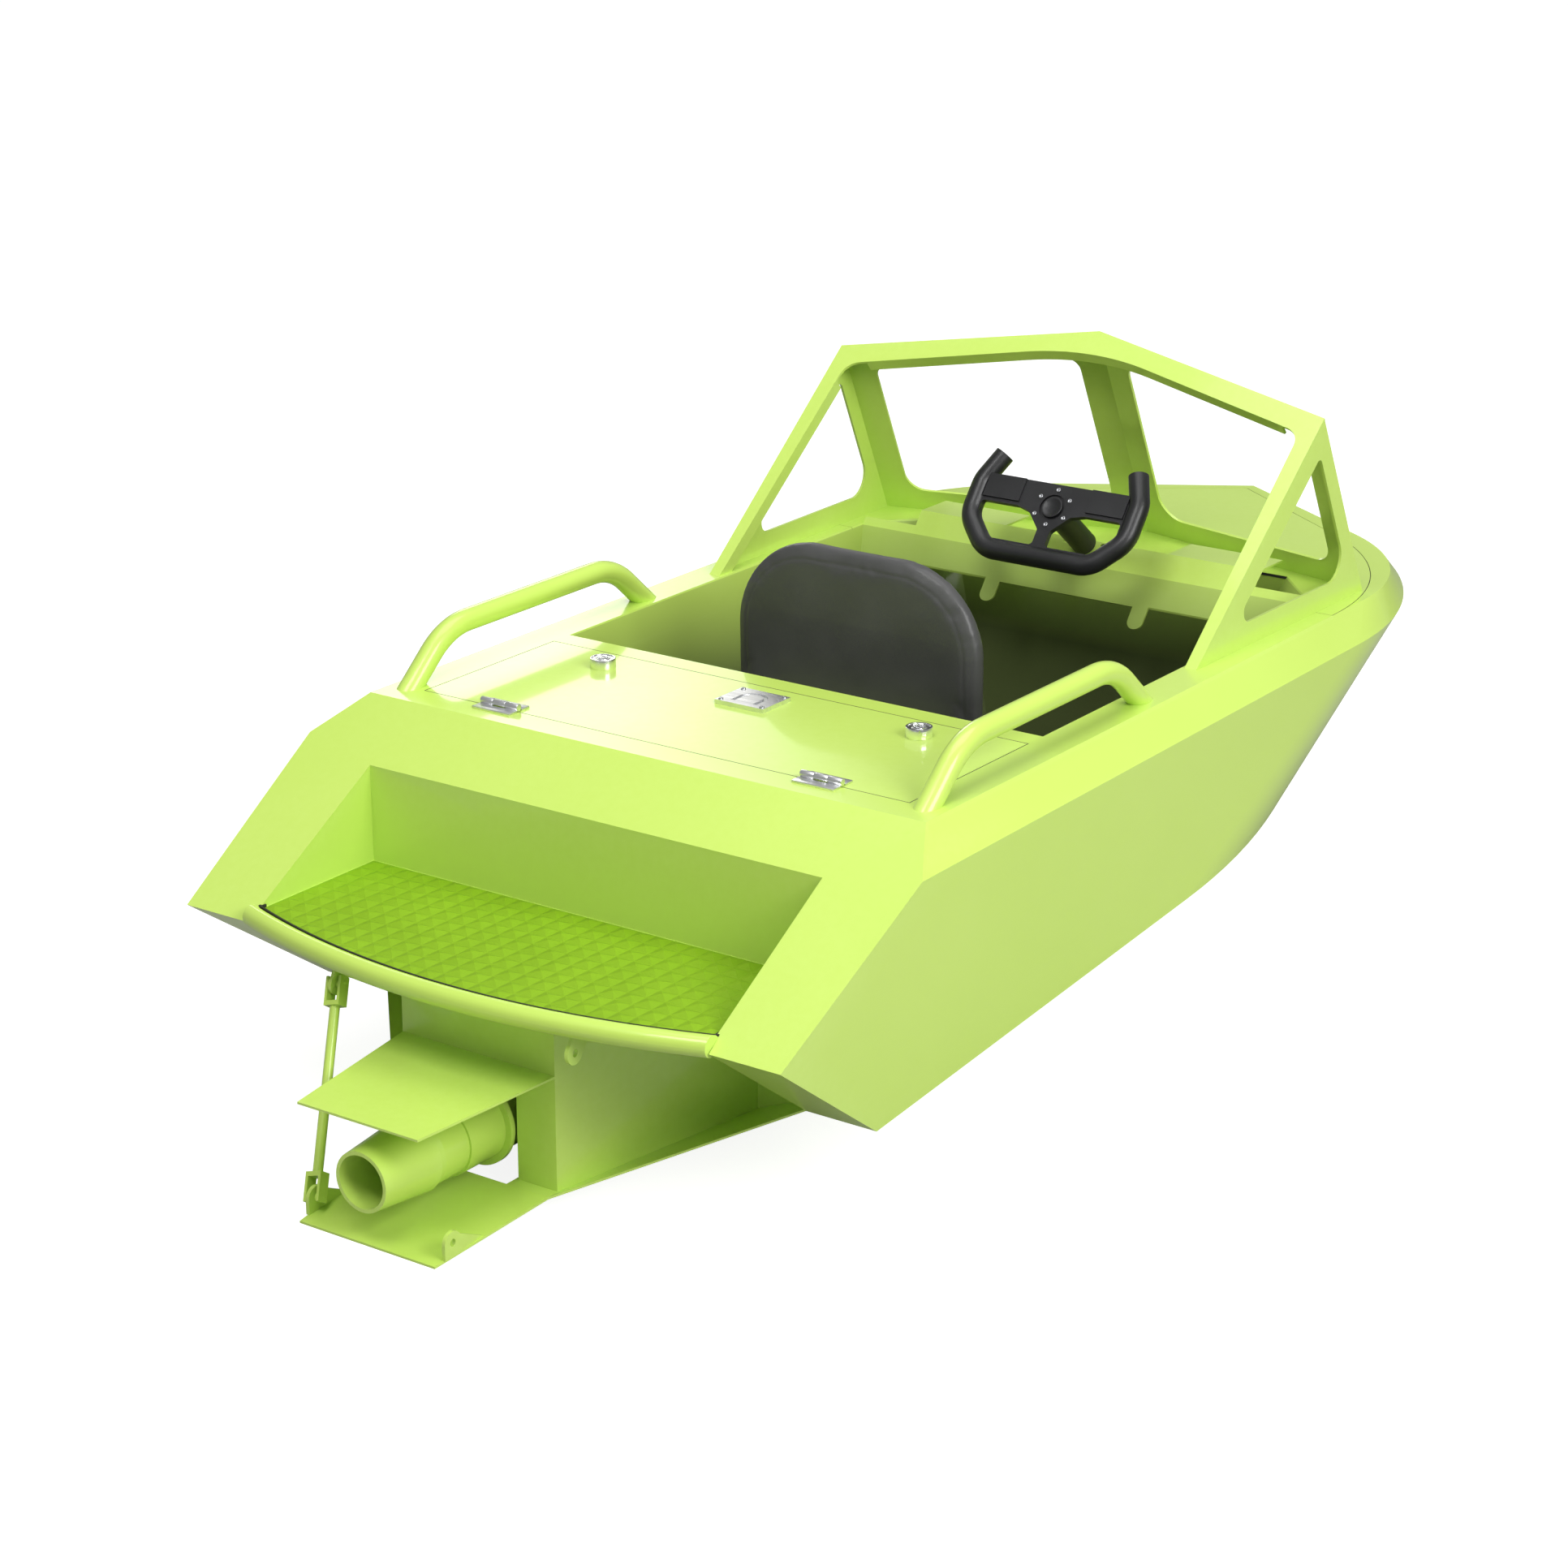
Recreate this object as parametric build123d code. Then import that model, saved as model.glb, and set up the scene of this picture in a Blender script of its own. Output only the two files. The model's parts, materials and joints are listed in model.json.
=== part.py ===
from build123d import *
from math import atan2, cos, degrees, radians, sin
import os

# Electric jet boat: a one-seat welded hull with a folded windscreen frame and an open jet.
# X runs to starboard, Y to the bow, Z up. Lengths are in millimetres.
# Below, y is measured from the deck's stern edge and z from the deck's top face.
# The finished pieces are moved so that the origin is under the middle of the boat.

# Hull outlines seen from above: half width at the stern, half width at the bow corner,
# y of that corner, y of the tip, and the radius that rounds the corner.
deck_half = 450.0
deck_corner_y = 1389.0
deck_tip_y = 1676.0
deck_corner_r = 386.0
foredeck_corner_y = 1340.0
foredeck_tip_y = 1655.0
foredeck_corner_r = 480.0
foredeck_aft_y = 1080.0
foredeck_seam = 1.2
gunwale_drop = 45.0
knuckle_flare = 49.0
knuckle_flare_bow = 26.5
knuckle_half = deck_half + knuckle_flare
knuckle_half_bow = deck_half + knuckle_flare_bow
knuckle_corner_y = 1497.0
knuckle_tip_y = 1750.0
knuckle_corner_r = 650.0
chine_half = 448.0
chine_half_bow = 470.0
chine_corner_y = 1235.0
chine_tip_y = 1650.0
chine_corner_r = 1262.0
chine_y = -105.0
chine_z = -375.0
chine_rise = 0.095
chine_flat = 95.0
inner_chine_corner_y = 1192.0
inner_chine_tip_y = 1523.0
inner_chine_corner_r = 1000.0
pad_half = 124.0
pad_corner_y = 850.0
pad_tip_y = 1250.0
pad_corner_r = 300.0
pad_z = -464.0
stern_reach = -420.0
plate_t = 4.0

# Stern: the sloped panel falls aft to the beak, and the underside runs back under it.
panel_slope = 0.6
beak_y = -344.0
arm_inner_aft = 372.0
arm_inner_fwd = 346.0
transom_y = -57.0

# Niche and swim platform
niche_half = 366.0
niche_y = -100.0
mat_top_z = -190.0
mat_t = 5.0
mat_edge_gap = 2.5
platform_t = 10.0
platform_edge_y = -387.0
platform_corner_y = -322.0
edge_tube_r = 14.0
seat_gap = 0.3

# Cockpit and aft bay
cockpit_half = 395.0
cockpit_aft_y = 365.0
cockpit_mid_y = 1120.0
cockpit_fwd_half = 300.0
cockpit_fwd_y = 1225.0
sole_z = -330.0
sole_half = 330.0
sole_mid_half = 250.0
sole_mid_y = 930.0
sole_fwd_half = 150.0
sole_fwd_y = 1120.0
sole_t = 6.0
keel_core_half = 300.0
bay_aft_y = 60.0
bay_fwd_y = 318.0
bay_half = 380.0
battery_len = 218.0
battery_w = 260.0
battery_h = 180.0
motor_len = 198.0
motor_w = 200.0
motor_h = 160.0
load_x = 170.0
load_aft_gap = 20.0

# Hatch
hatch_half = 394.0
hatch_aft_y = 49.0
hatch_fwd_y = 328.0
hatch_gap = 1.5
ledge = 14.0
ledge_t = 5.0
hinge_x = 262.0
hinge_len = 64.0
hinge_pin_r = 5.0
hinge_leaf_t = 3.0
hinge_leaf_w = 24.0
hinge_pin_core_r = 2.5
pin_clear = 0.05
knob_x = 262.0
knob_y = 272.0
knob_r = 18.0
knob_h = 14.0
knob_chamfer = 2.0
knob_dish_r = 12.0
knob_dish = 1.5
latch_y = 263.0
latch_w = 80.0
latch_d = 64.0
latch_t = 6.0
latch_groove_out = 21.0
latch_groove_w = 6.0
latch_groove = 2.0

# Grab rails
rail_r = 16.0
rail_x = 421.0
rail_aft_y = 51.0
rail_fwd_y = 572.0
rail_top_z = 66.0
rail_run = 76.0
rail_bend_r = 52.0

# Windscreen frame
screen_t = 4.0
leg_y = 733.0
leg_half = 418.0
hoop_y = 1085.0
hoop_z = 288.0
hoop_half = 419.0
apex_y = 1160.0
screen_corner_y = 1225.0
screen_corner_half = 425.0
flange_foot = 18.0
flange_top = 26.0
header_w = 32.0
header_apex_r = 440.0
hoop_corner_r = 30.0
hoop_lip = 20.0
hoop_lip_t = 3.0
hoop_relief_r = 34.0
front_base_w = 41.0
front_corner_w = 48.0
front_top_w = 43.0
front_post_w = 44.0
front_radii = (38.0, 34.0, 20.0, 24.0)
side_base_w = 35.0
side_front_w = 30.0
side_hoop_w = 38.0
side_radii = (16.0, 35.0, 9.0)

# Helm
wheel_y = 1040.0
wheel_z = 98.0
column_tilt = 38.5
column_len = 118.0
column_r = 19.0
wheel_grip_r = 15.5
wheel_half = 137.0
wheel_side_top = 28.0
wheel_side_low = -32.0
wheel_bar = -80.0
wheel_bar_half = 92.0
wheel_horn_half = 117.0
wheel_horn_top = 75.0
wheel_bend_r = 46.0
wheel_plate_top = 38.0
wheel_plate_t = 8.0
wheel_plate_sink = 1.0
wheel_pad_in = 58.0
wheel_pad_out = 122.0
wheel_pad_rise = 3.0
wheel_window_r = 6.0
hub_h = 14.0
hub_r = 24.0
hub_bore_r = 11.0
hub_recess_r = 21.0
hub_recess = 3.0
console_half = 144.0
tongue_r = 13.0
tongue_len = 22.0
dash_top_z = 30.0
dash_low_z = -40.0
dash_t = 3.0
dash_fwd = 70.0
dash_lip = 60.0
dash_lip_drop = 6.0
panel_hole_x = -345.0
panel_hole_w = 60.0
panel_hole_h = 34.0
switch_hole_x = 32.0
switch_hole_r = 5.0
key_x = 290.0
key_r = 11.0
key_notch = 5.0

# Seat
back_y = 500.0
back_half = 216.0
back_top_z = 165.0
back_low_z = -190.0
back_t = 40.0
back_corner_r = 140.0
back_frame_t = 60.0
back_frame_half = 150.0
back_frame_top_z = -60.0
cushion_depth = 330.0
cushion_half = 210.0
cushion_t = 70.0
cushion_gap = 1.0
seat_base_z = -265.0

# Jet
pod_half = 123.0
pod_aft_y = -327.0
pod_fwd_half = 240.0
pod_t = 4.0
pod_door_half = 61.0
wing_t = 3.0
jet_z = -395.0
nozzle_aft_y = -551.0
nozzle_fwd_y = -457.0
ball_y = -446.0
ball_r = 46.0
ball_angle = 40
ball_step = 20
ball_bore_r = 33.0
ball_clear = 0.4
collar_y = -401.0
nozzle_rim_r = 40.0
nozzle_root_r = 49.0
nozzle_bore_r = 35.0
tube_r = 49.0
tube_bore_r = 42.0
flange_r = 58.0
flange_t = 8.0
splash_z_aft = -312.0
splash_z_fwd = -305.0
splash_y_aft = -554.0
splash_half_aft = 96.0
ride_y_aft = -546.0
ride_z_aft = -482.0
ride_half_aft = 109.0
wing_aft_y = -346.0
tail_half = 57.0
lug_t = 5.0
lug_hole_r = 5.0
lug_eye_r = 15.0
upper_web_aft = 3.0
upper_web_fwd = 54.0
lower_web_len = 60.0
lower_web_low = 40.0
lug_web_neck = 11.0
upper_lug_x = 190.0
upper_lug_y = -372.0
upper_lug_z = -240.0
lower_lug_x = 110.0
lower_lug_y = -515.0
lower_lug_z = -458.0
rod_r = 6.5
clevis_w = 23.0
clevis_d = 18.0
clevis_len = 38.0
clevis_slot = 15.5
clevis_pin_end = 8.0
clevis_depth = 24.0
stator_y = -290.0
stator_len = 24.0
stator_vanes = 5
impeller_y = -235.0
impeller_clear = 0.8
impeller_hub_r = 14.0
impeller_blades = 4
impeller_len = 40.0
blade_pitch = 35.0
blade_t = 3.0
blade_len = 34.0
shaft_r = 9.0
intake_half = 55.0
intake_aft_y = 20.0
intake_fwd_y = 280.0
grille_bars = 5
grille_bar_w = 8.0

origin_y = (splash_y_aft + knuckle_tip_y) / 2
lowest_z = ride_z_aft
to_frame = Pos(0, -origin_y, -lowest_z)


def write(name, shape):
    """Move a piece into the boat's frame and write it as one file."""
    moved = to_frame * shape
    moved.label = name
    export_step(moved, "parts/" + name + ".step")


def block(x0, x1, y0, y1, z0, z1):
    """A box between two corners."""
    return Pos((x0 + x1) / 2, (y0 + y1) / 2, (z0 + z1) / 2) * Box(x1 - x0, y1 - y0, z1 - z0)


def outline(half_aft, half_bow, corner_y, tip_y, radius, y_aft=stern_reach):
    """A pointed bow outline, symmetric about the centre line, with rounded shoulders."""
    points = [(-half_aft, y_aft), (half_aft, y_aft), (half_bow, corner_y), (0, tip_y), (-half_bow, corner_y)]
    face = make_face(Polyline(*points, close=True))
    shoulders = face.vertices().filter_by(lambda v: abs(v.Y - corner_y) < 0.01)
    return fillet(shoulders, radius)


def side_profile(points, half=600.0):
    """A solid that has these (y, z) points as its outline seen from the side."""
    face = make_face(Polyline(*points, close=True))
    return extrude(Plane.YZ * face, amount=half, both=True)


def starboard(shape):
    return shape & block(0, 700, -700, 2000, -700, 700)


def mirrored(shape):
    return mirror(shape, about=Plane.YZ)


# Hull body: three ruled shells of lines and arcs, split later where the plates meet
chine_plane = Plane(origin=(0, chine_y, chine_z), x_dir=(1, 0, 0), z_dir=(0, -chine_rise, 1))


def on_chine(half_aft, half_bow, corner_y, tip_y, radius):
    shape = outline(half_aft, half_bow, corner_y - chine_y, tip_y - chine_y, radius, stern_reach - chine_y)
    return chine_plane * shape


deck_line = outline(deck_half, deck_half, deck_corner_y, deck_tip_y, deck_corner_r)
knuckle_line = Pos(0, 0, -gunwale_drop) * outline(
    knuckle_half, knuckle_half_bow, knuckle_corner_y, knuckle_tip_y, knuckle_corner_r
)
chine_line = on_chine(
    chine_half, chine_half_bow, chine_corner_y, chine_tip_y, chine_corner_r
)
inner_chine_line = on_chine(
    chine_half - chine_flat, chine_half_bow - chine_flat, inner_chine_corner_y, inner_chine_tip_y,
    inner_chine_corner_r
)
pad_line = Pos(0, 0, pad_z) * outline(pad_half, pad_half, pad_corner_y, pad_tip_y, pad_corner_r)

gunwale_block = loft([knuckle_line, deck_line], ruled=True)
side_block = loft([chine_line, knuckle_line], ruled=True)
bottom_block = loft([pad_line, inner_chine_line], ruled=True)

beak_z = panel_slope * beak_y
stern_keep = side_profile(
    [(0, 0), (beak_y, beak_z), (chine_y, chine_z), (chine_y + 60, chine_z - 200),
     (2000, chine_z - 200), (2000, 50), (50 / panel_slope, 50)]
)
niche_cut = block(-niche_half, niche_half, -600, niche_y, mat_top_z - mat_t, 50)
arm_gap_plan = [(arm_inner_aft + 8, -420), (arm_inner_aft, beak_y), (arm_inner_fwd, chine_y),
                (arm_inner_fwd, transom_y), (-arm_inner_fwd, transom_y), (-arm_inner_fwd, chine_y),
                (-arm_inner_aft, beak_y), (-arm_inner_aft - 8, -420)]
under_platform = Pos(0, 0, chine_z - 200) * extrude(
    make_face(Polyline(*arm_gap_plan, close=True)), amount=mat_top_z - mat_t - chine_z + 200
)
hatch_hole = block(-hatch_half - hatch_gap, hatch_half + hatch_gap, hatch_aft_y - hatch_gap,
                   hatch_fwd_y + hatch_gap, -plate_t - ledge_t, 20)
gunwale_block = (gunwale_block & stern_keep) - niche_cut - hatch_hole
side_block = (side_block & stern_keep) - niche_cut - under_platform
bottom_block = bottom_block & block(-600, 600, transom_y, 2000, -700, 0)

# Cockpit and bay spaces, wider at the deck than at the sole
cockpit_top = [(-cockpit_half, cockpit_aft_y), (cockpit_half, cockpit_aft_y), (cockpit_half, cockpit_mid_y),
               (cockpit_fwd_half, cockpit_fwd_y), (-cockpit_fwd_half, cockpit_fwd_y),
               (-cockpit_half, cockpit_mid_y)]
cockpit_low = [(-sole_half, cockpit_aft_y), (sole_half, cockpit_aft_y), (sole_mid_half, sole_mid_y),
               (sole_fwd_half, sole_fwd_y), (-sole_fwd_half, sole_fwd_y), (-sole_mid_half, sole_mid_y)]


def tapered_space(top, low):
    upper = make_face(Polyline(*top, close=True))
    lower = Pos(0, 0, sole_z) * make_face(Polyline(*low, close=True))
    return loft([lower, upper], ruled=True)


cockpit_space = tapered_space(cockpit_top, cockpit_low)
middle = [(-bay_half, niche_y), (bay_half, niche_y), (bay_half, cockpit_aft_y), (-bay_half, cockpit_aft_y)]
middle_low = [(-sole_half, niche_y), (sole_half, niche_y), (sole_half, cockpit_aft_y),
              (-sole_half, cockpit_aft_y)]
middle_space = tapered_space(middle, middle_low)

# Deck plates and the slabs that the split uses
deck_slab = block(-600, 600, -700, 2000, -plate_t, 10)
foredeck_outline = outline(deck_half, deck_half, foredeck_corner_y, foredeck_tip_y, foredeck_corner_r,
                           foredeck_aft_y)
foredeck_recess = Pos(0, 0, -plate_t) * extrude(foredeck_outline, amount=plate_t)
foredeck_body = Pos(0, 0, -plate_t) * extrude(offset(foredeck_outline, amount=-foredeck_seam), amount=plate_t)
panel_angle = degrees(atan2(panel_slope, 1))
panel_slab = Rot(panel_angle, 0, 0) * block(-600, 600, -700, 20, -plate_t, 40)
under_angle = degrees(atan2(chine_z - beak_z, chine_y - beak_y))
underside_slab = Pos(0, beak_y, beak_z) * (Rot(under_angle, 0, 0) * block(-600, 600, -20, 400, -40, plate_t))

stern_panel = (gunwale_block + side_block) & panel_slab
gunwale_rest = gunwale_block - panel_slab
side_rest = side_block - panel_slab
stern_undersides = side_rest & underside_slab & block(-600, 600, -700, chine_y + 1, -700, 0)
side_rest = side_rest - (underside_slab & block(-600, 600, -700, chine_y + 1, -700, 0))

deck_sheet = (gunwale_rest & deck_slab) - foredeck_recess
deck_aft = (deck_sheet & block(-600, 600, -700, foredeck_aft_y, -50, 20)) - cockpit_space
foredeck_hole = cockpit_space & block(-600, 600, 0, 2000, -50, 20)
foredeck = foredeck_body - foredeck_hole
gunwale_low = gunwale_rest - (deck_slab & block(-600, 600, -700, foredeck_aft_y, -50, 20)) - foredeck_recess
gunwale_low = gunwale_low - cockpit_space - middle_space
stern_block = (gunwale_rest + side_rest) & middle_space
stern_block = stern_block & block(-600, 600, niche_y, bay_aft_y, sole_z, -plate_t)
aft_bulkhead = ((gunwale_block + side_block) & middle_space
                & block(-600, 600, bay_fwd_y, cockpit_aft_y, sole_z, -plate_t))
side_low = side_rest - cockpit_space - middle_space
nose_y = cockpit_fwd_y
keel_core = side_low & block(-keel_core_half, keel_core_half, transom_y, nose_y, -700, sole_z)
side_low = side_low - keel_core
gunwale_sides = gunwale_low & block(-600, 600, -700, nose_y, -700, 10)
gunwale_bow = gunwale_low & block(-600, 600, nose_y, 2000, -700, 10)
side_walls = side_low & block(-600, 600, -700, nose_y, -700, 10)
bow_body = side_low & block(-600, 600, nose_y, 2000, -700, 10)

# Sheer strip and topsides, port and starboard
gunwale_starboard = starboard(gunwale_sides)
side_starboard = starboard(side_walls)

# Bottom: the V plates, with the jet's intake cut through the pad
intake_cut = Pos(0, 0, pad_z - 1) * extrude(
    make_face(Polyline((-intake_half, intake_aft_y), (intake_half, intake_aft_y), (intake_half, intake_fwd_y),
                       (-intake_half, intake_fwd_y), close=True)), amount=30)
intake_ramp = side_profile([(transom_y - 1, jet_z - tube_bore_r), (transom_y - 1, jet_z + tube_bore_r),
                            (intake_aft_y, jet_z + tube_bore_r), (intake_fwd_y, pad_z + 20),
                            (intake_aft_y, pad_z + 20)], half=intake_half)
bottom_body = bottom_block + keel_core - cockpit_space - intake_cut - intake_ramp
bottom_starboard = starboard(bottom_body)
grille_pitch = 2 * intake_half / (grille_bars + 1)
grille_bars_list = [
    block(-intake_half + (n + 1) * grille_pitch - grille_bar_w / 2,
          -intake_half + (n + 1) * grille_pitch + grille_bar_w / 2,
          intake_aft_y + 6, intake_fwd_y - 6, pad_z + 1, pad_z + 11)
    for n in range(grille_bars)
]
grille = Part() + grille_bars_list
for y_end in (intake_aft_y + 3, intake_fwd_y - 9):
    grille = grille + block(-intake_half + seat_gap, intake_half - seat_gap, y_end, y_end + 6,
                            pad_z + 1, pad_z + 11)

# Transom between the arms, and the bottom wings that run on aft of it to the ride plate
platform_low_z = mat_top_z - mat_t - platform_t
transom_front = make_face(Polyline(
    (-arm_inner_fwd, platform_low_z), (arm_inner_fwd, platform_low_z), (arm_inner_fwd, chine_z),
    (pad_half, pad_z), (-pad_half, pad_z), (-arm_inner_fwd, chine_z), close=True))
transom_face_y = transom_y - plate_t
transom = Pos(0, transom_face_y, 0) * extrude(Plane.XZ * transom_front, amount=-plate_t)
transom = transom - (Pos(0, transom_y, jet_z) * (Rot(90, 0, 0) * Cylinder(tube_r + seat_gap, 40)))
wing_section = make_face(Polyline((tail_half, pad_z), (pad_half, pad_z), (arm_inner_fwd, chine_z),
                                  (arm_inner_fwd, chine_z + wing_t), (pad_half, pad_z + wing_t),
                                  (tail_half, pad_z + wing_t), close=True))
wing_plan = make_face(Polyline((0, wing_aft_y), (pad_half, wing_aft_y), (arm_inner_fwd, chine_y),
                               (arm_inner_fwd, transom_face_y), (0, transom_face_y), close=True))
wing = Pos(0, transom_face_y, 0) * extrude(Plane.XZ * wing_section, amount=transom_face_y - wing_aft_y)
wing_starboard = wing & (Pos(0, 0, -700) * extrude(wing_plan, amount=700))
below_wing = extrude(Plane.XZ * make_face(Polyline(
    (0, -700), (0, pad_z + wing_t), (pad_half, pad_z + wing_t), (arm_inner_fwd, chine_z + wing_t),
    (arm_inner_fwd, -700), close=True)), amount=700)

# Swim platform: a plate between the arms with a bowed aft edge, a mat and a round edge tube
edge_chord = niche_half
edge_bow = platform_corner_y - platform_edge_y
edge_radius = (edge_chord ** 2 + edge_bow ** 2) / (2 * edge_bow)
edge_centre_y = platform_edge_y + edge_radius
platform_disc = Pos(0, edge_centre_y, mat_top_z) * Cylinder(edge_radius, 100)
platform = platform_disc & under_platform & block(-600, 600, -700, niche_y, platform_low_z, mat_top_z - mat_t)
mat_disc = Pos(0, edge_centre_y, mat_top_z) * Cylinder(edge_radius - mat_edge_gap, 2 * mat_t)
mat = mat_disc & block(-niche_half + mat_edge_gap, niche_half - mat_edge_gap, -700, niche_y - mat_edge_gap,
                       mat_top_z - mat_t, mat_top_z)
tube_path_r = edge_radius + edge_tube_r
tube_z = platform_low_z + platform_t / 2
edge_tube = Pos(0, edge_centre_y, tube_z) * Torus(tube_path_r, edge_tube_r)
between_arms = make_face(Polyline(
    (-arm_inner_aft, beak_y - 100), (arm_inner_aft, beak_y - 100), (arm_inner_aft - 2, platform_corner_y + 20),
    (-arm_inner_aft + 2, platform_corner_y + 20), close=True))
edge_tube = edge_tube & (Pos(0, 0, -300) * extrude(between_arms, amount=300)) & block(-600, 600, -700, 0, -300, 0)
edge_tube = edge_tube - (platform_disc & block(-600, 600, -700, niche_y, -300, 0)) - side_block

# Hatch: lid flush in the deck, a ledge under its rim, hinge pins along the stern edge
lid = block(-hatch_half, hatch_half, hatch_aft_y, hatch_fwd_y, -plate_t, 0)
coaming = block(-hatch_half - hatch_gap, hatch_half + hatch_gap, hatch_aft_y - hatch_gap,
                hatch_fwd_y + hatch_gap, -plate_t - ledge_t, -plate_t - seat_gap)
coaming = coaming - block(-hatch_half + ledge, hatch_half - ledge, hatch_aft_y + ledge, hatch_fwd_y - ledge,
                          -50, 20)
pin_z = hinge_pin_r + 1.0
pin_y = hatch_aft_y
lid_leaves = []
deck_leaves = []
third = hinge_len / 3
for side in (-1, 1):
    x = side * hinge_x
    lid_leaf = Pos(x, pin_y, pin_z) * (Rot(0, 90, 0) * Cylinder(hinge_pin_r, third))
    lid_leaf = lid_leaf + block(x - third / 2, x + third / 2, pin_y, pin_y + hinge_leaf_w, 0, hinge_leaf_t)
    bore = Pos(x, pin_y, pin_z) * (Rot(0, 90, 0) * Cylinder(hinge_pin_core_r + pin_clear, third + 2))
    lid_leaves.append(lid_leaf - bore)
    deck_leaf = Pos(x, pin_y, pin_z) * (Rot(0, 90, 0) * Cylinder(hinge_pin_core_r, hinge_len))
    for end in (-1, 1):
        xe = x + end * third
        knuckle = Pos(xe, pin_y, pin_z) * (Rot(0, 90, 0) * Cylinder(hinge_pin_r, third - 1))
        deck_leaf = deck_leaf + knuckle + block(xe - third / 2 + 0.5, xe + third / 2 - 0.5,
                                                pin_y - hinge_leaf_w, pin_y, 0, hinge_leaf_t)
    deck_leaves.append(deck_leaf)
knob = revolve(Plane.XZ * make_face(Polyline(
    (0, 0), (knob_r, 0), (knob_r, knob_h - knob_chamfer), (knob_r - knob_chamfer, knob_h),
    (knob_dish_r, knob_h), (knob_dish_r - knob_dish, knob_h - knob_dish), (0, knob_h - knob_dish),
    close=True)), axis=Axis.Z)
knobs = [Pos(side * knob_x, knob_y, 0) * knob for side in (-1, 1)]
latch = block(-latch_w / 2, latch_w / 2, latch_y - latch_d / 2, latch_y + latch_d / 2, 0, latch_t)
groove = Circle(latch_groove_out) - Circle(latch_groove_out - latch_groove_w)
groove = groove & (Pos(0, latch_groove_out) * Rectangle(2 * latch_groove_out, 2 * latch_groove_out))
for side in (-1, 1):
    leg_x = side * (latch_groove_out - latch_groove_w / 2)
    groove = groove + Pos(leg_x, -latch_groove_out / 2) * Rectangle(latch_groove_w, latch_groove_out)
latch = latch - Pos(0, latch_y, latch_t - latch_groove) * extrude(groove, amount=latch_groove)

# Grab rails
rail_path = FilletPolyline((rail_x, rail_aft_y, 0), (rail_x, rail_aft_y + rail_run, rail_top_z),
                           (rail_x, rail_fwd_y - rail_run, rail_top_z), (rail_x, rail_fwd_y, 0),
                           radius=rail_bend_r)
rail = sweep(Plane(origin=rail_path @ 0, z_dir=rail_path % 0) * Circle(rail_r), path=rail_path)
rail = rail & block(0, 700, -700, 2000, 0, 200)

# Windscreen: one flat flanged hoop, two front panels and two side panels, all meeting at its outer edge
hoop_slope = hoop_z / (hoop_y - leg_y)
hoop_plane = Plane(origin=(0, leg_y, 0), x_dir=(1, 0, 0), z_dir=(0, -hoop_slope, 1))
foot = Vector(leg_half, leg_y, 0)
shoulder = Vector(hoop_half, hoop_y, hoop_z)
apex = Vector(0, apex_y, hoop_slope * (apex_y - leg_y))
base_corner = Vector(screen_corner_half, screen_corner_y, 0)
front_normal = (shoulder - base_corner).cross(apex - base_corner)
base_centre = Vector(0, screen_corner_y + front_normal.X * screen_corner_half / front_normal.Y, 0)
shoulder_v = hoop_plane.to_local_coords(shoulder).Y
apex_v = hoop_plane.to_local_coords(apex).Y


def inset_corners(points, insets):
    """Corners of the outline left when each edge moves in by its own inset (points run anticlockwise)."""
    inner = []
    for n, corner in enumerate(points):
        before = (corner - points[n - 1]).normalized()
        after = (points[(n + 1) % len(points)] - corner).normalized()
        turn = before.X * after.Y - before.Y * after.X
        inner.append(corner + (after * insets[n - 1] - before * insets[n]) * (1 / turn))
    return inner


def panel_with_opening(corners, margins, radii, thickness):
    """A flat plate with one opening: a margin for each edge and a radius for each corner."""
    plane = Plane(origin=corners[0], x_dir=corners[1] - corners[0],
                  z_dir=(corners[1] - corners[0]).cross(corners[-1] - corners[0]))
    flat = [plane.to_local_coords(c) for c in corners]
    outer = make_face(Polyline(*flat, close=True))
    hole = make_face(FilletPolyline(*inset_corners(flat, margins), radius=radii, close=True))
    return plane * extrude(outer - hole, amount=thickness)


under_hoop = hoop_plane * (Pos(0, 400, -screen_t - 500) * Box(1200, 1200, 1000))
screen_space = under_hoop & block(0, 600, 0, 2000, 0, 600)
front_starboard = panel_with_opening([base_centre, base_corner, shoulder, apex],
                                     [front_base_w, front_corner_w, front_top_w, front_post_w],
                                     front_radii, screen_t)
front_starboard = front_starboard & screen_space
side_screen = panel_with_opening([foot, base_corner, shoulder], [side_base_w, side_front_w, side_hoop_w],
                                 side_radii, -screen_t)
side_screen = (side_screen & screen_space) - front_starboard
hoop_outer = make_face(Polyline((leg_half, 0), (hoop_half, shoulder_v), (0, apex_v), (-hoop_half, shoulder_v),
                                (-leg_half, 0), close=True))


def hoop_opening(grow):
    """The hoop's open face, larger by this much all round, with its rounded corners and top."""
    leg_x = leg_half - flange_foot + grow
    top_x = hoop_half - flange_top + grow
    return make_face(FilletPolyline(
        (leg_x, -hoop_lip), (top_x, shoulder_v - header_w + grow), (0, apex_v - header_w + grow),
        (-top_x, shoulder_v - header_w + grow), (-leg_x, -hoop_lip),
        radius=(1, hoop_corner_r + grow, header_apex_r + grow, hoop_corner_r + grow, 1), close=True))


# The hoop's opening has a return lip on its straight runs, relieved at both upper corners
above_deck = block(-600, 600, 0, 2000, 0, 600)
hoop_sheet = extrude(hoop_outer - hoop_opening(0), amount=-screen_t)
hoop_return = extrude(hoop_opening(hoop_lip_t) - hoop_opening(0), amount=-hoop_lip)
for side in (-1, 1):
    corner = Pos(side * (hoop_half - flange_top), shoulder_v - header_w, -screen_t - hoop_lip)
    hoop_return = hoop_return - corner * Cylinder(hoop_relief_r, 2 * hoop_lip)
hoop = (hoop_plane * (hoop_sheet + hoop_return)) & above_deck

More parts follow.
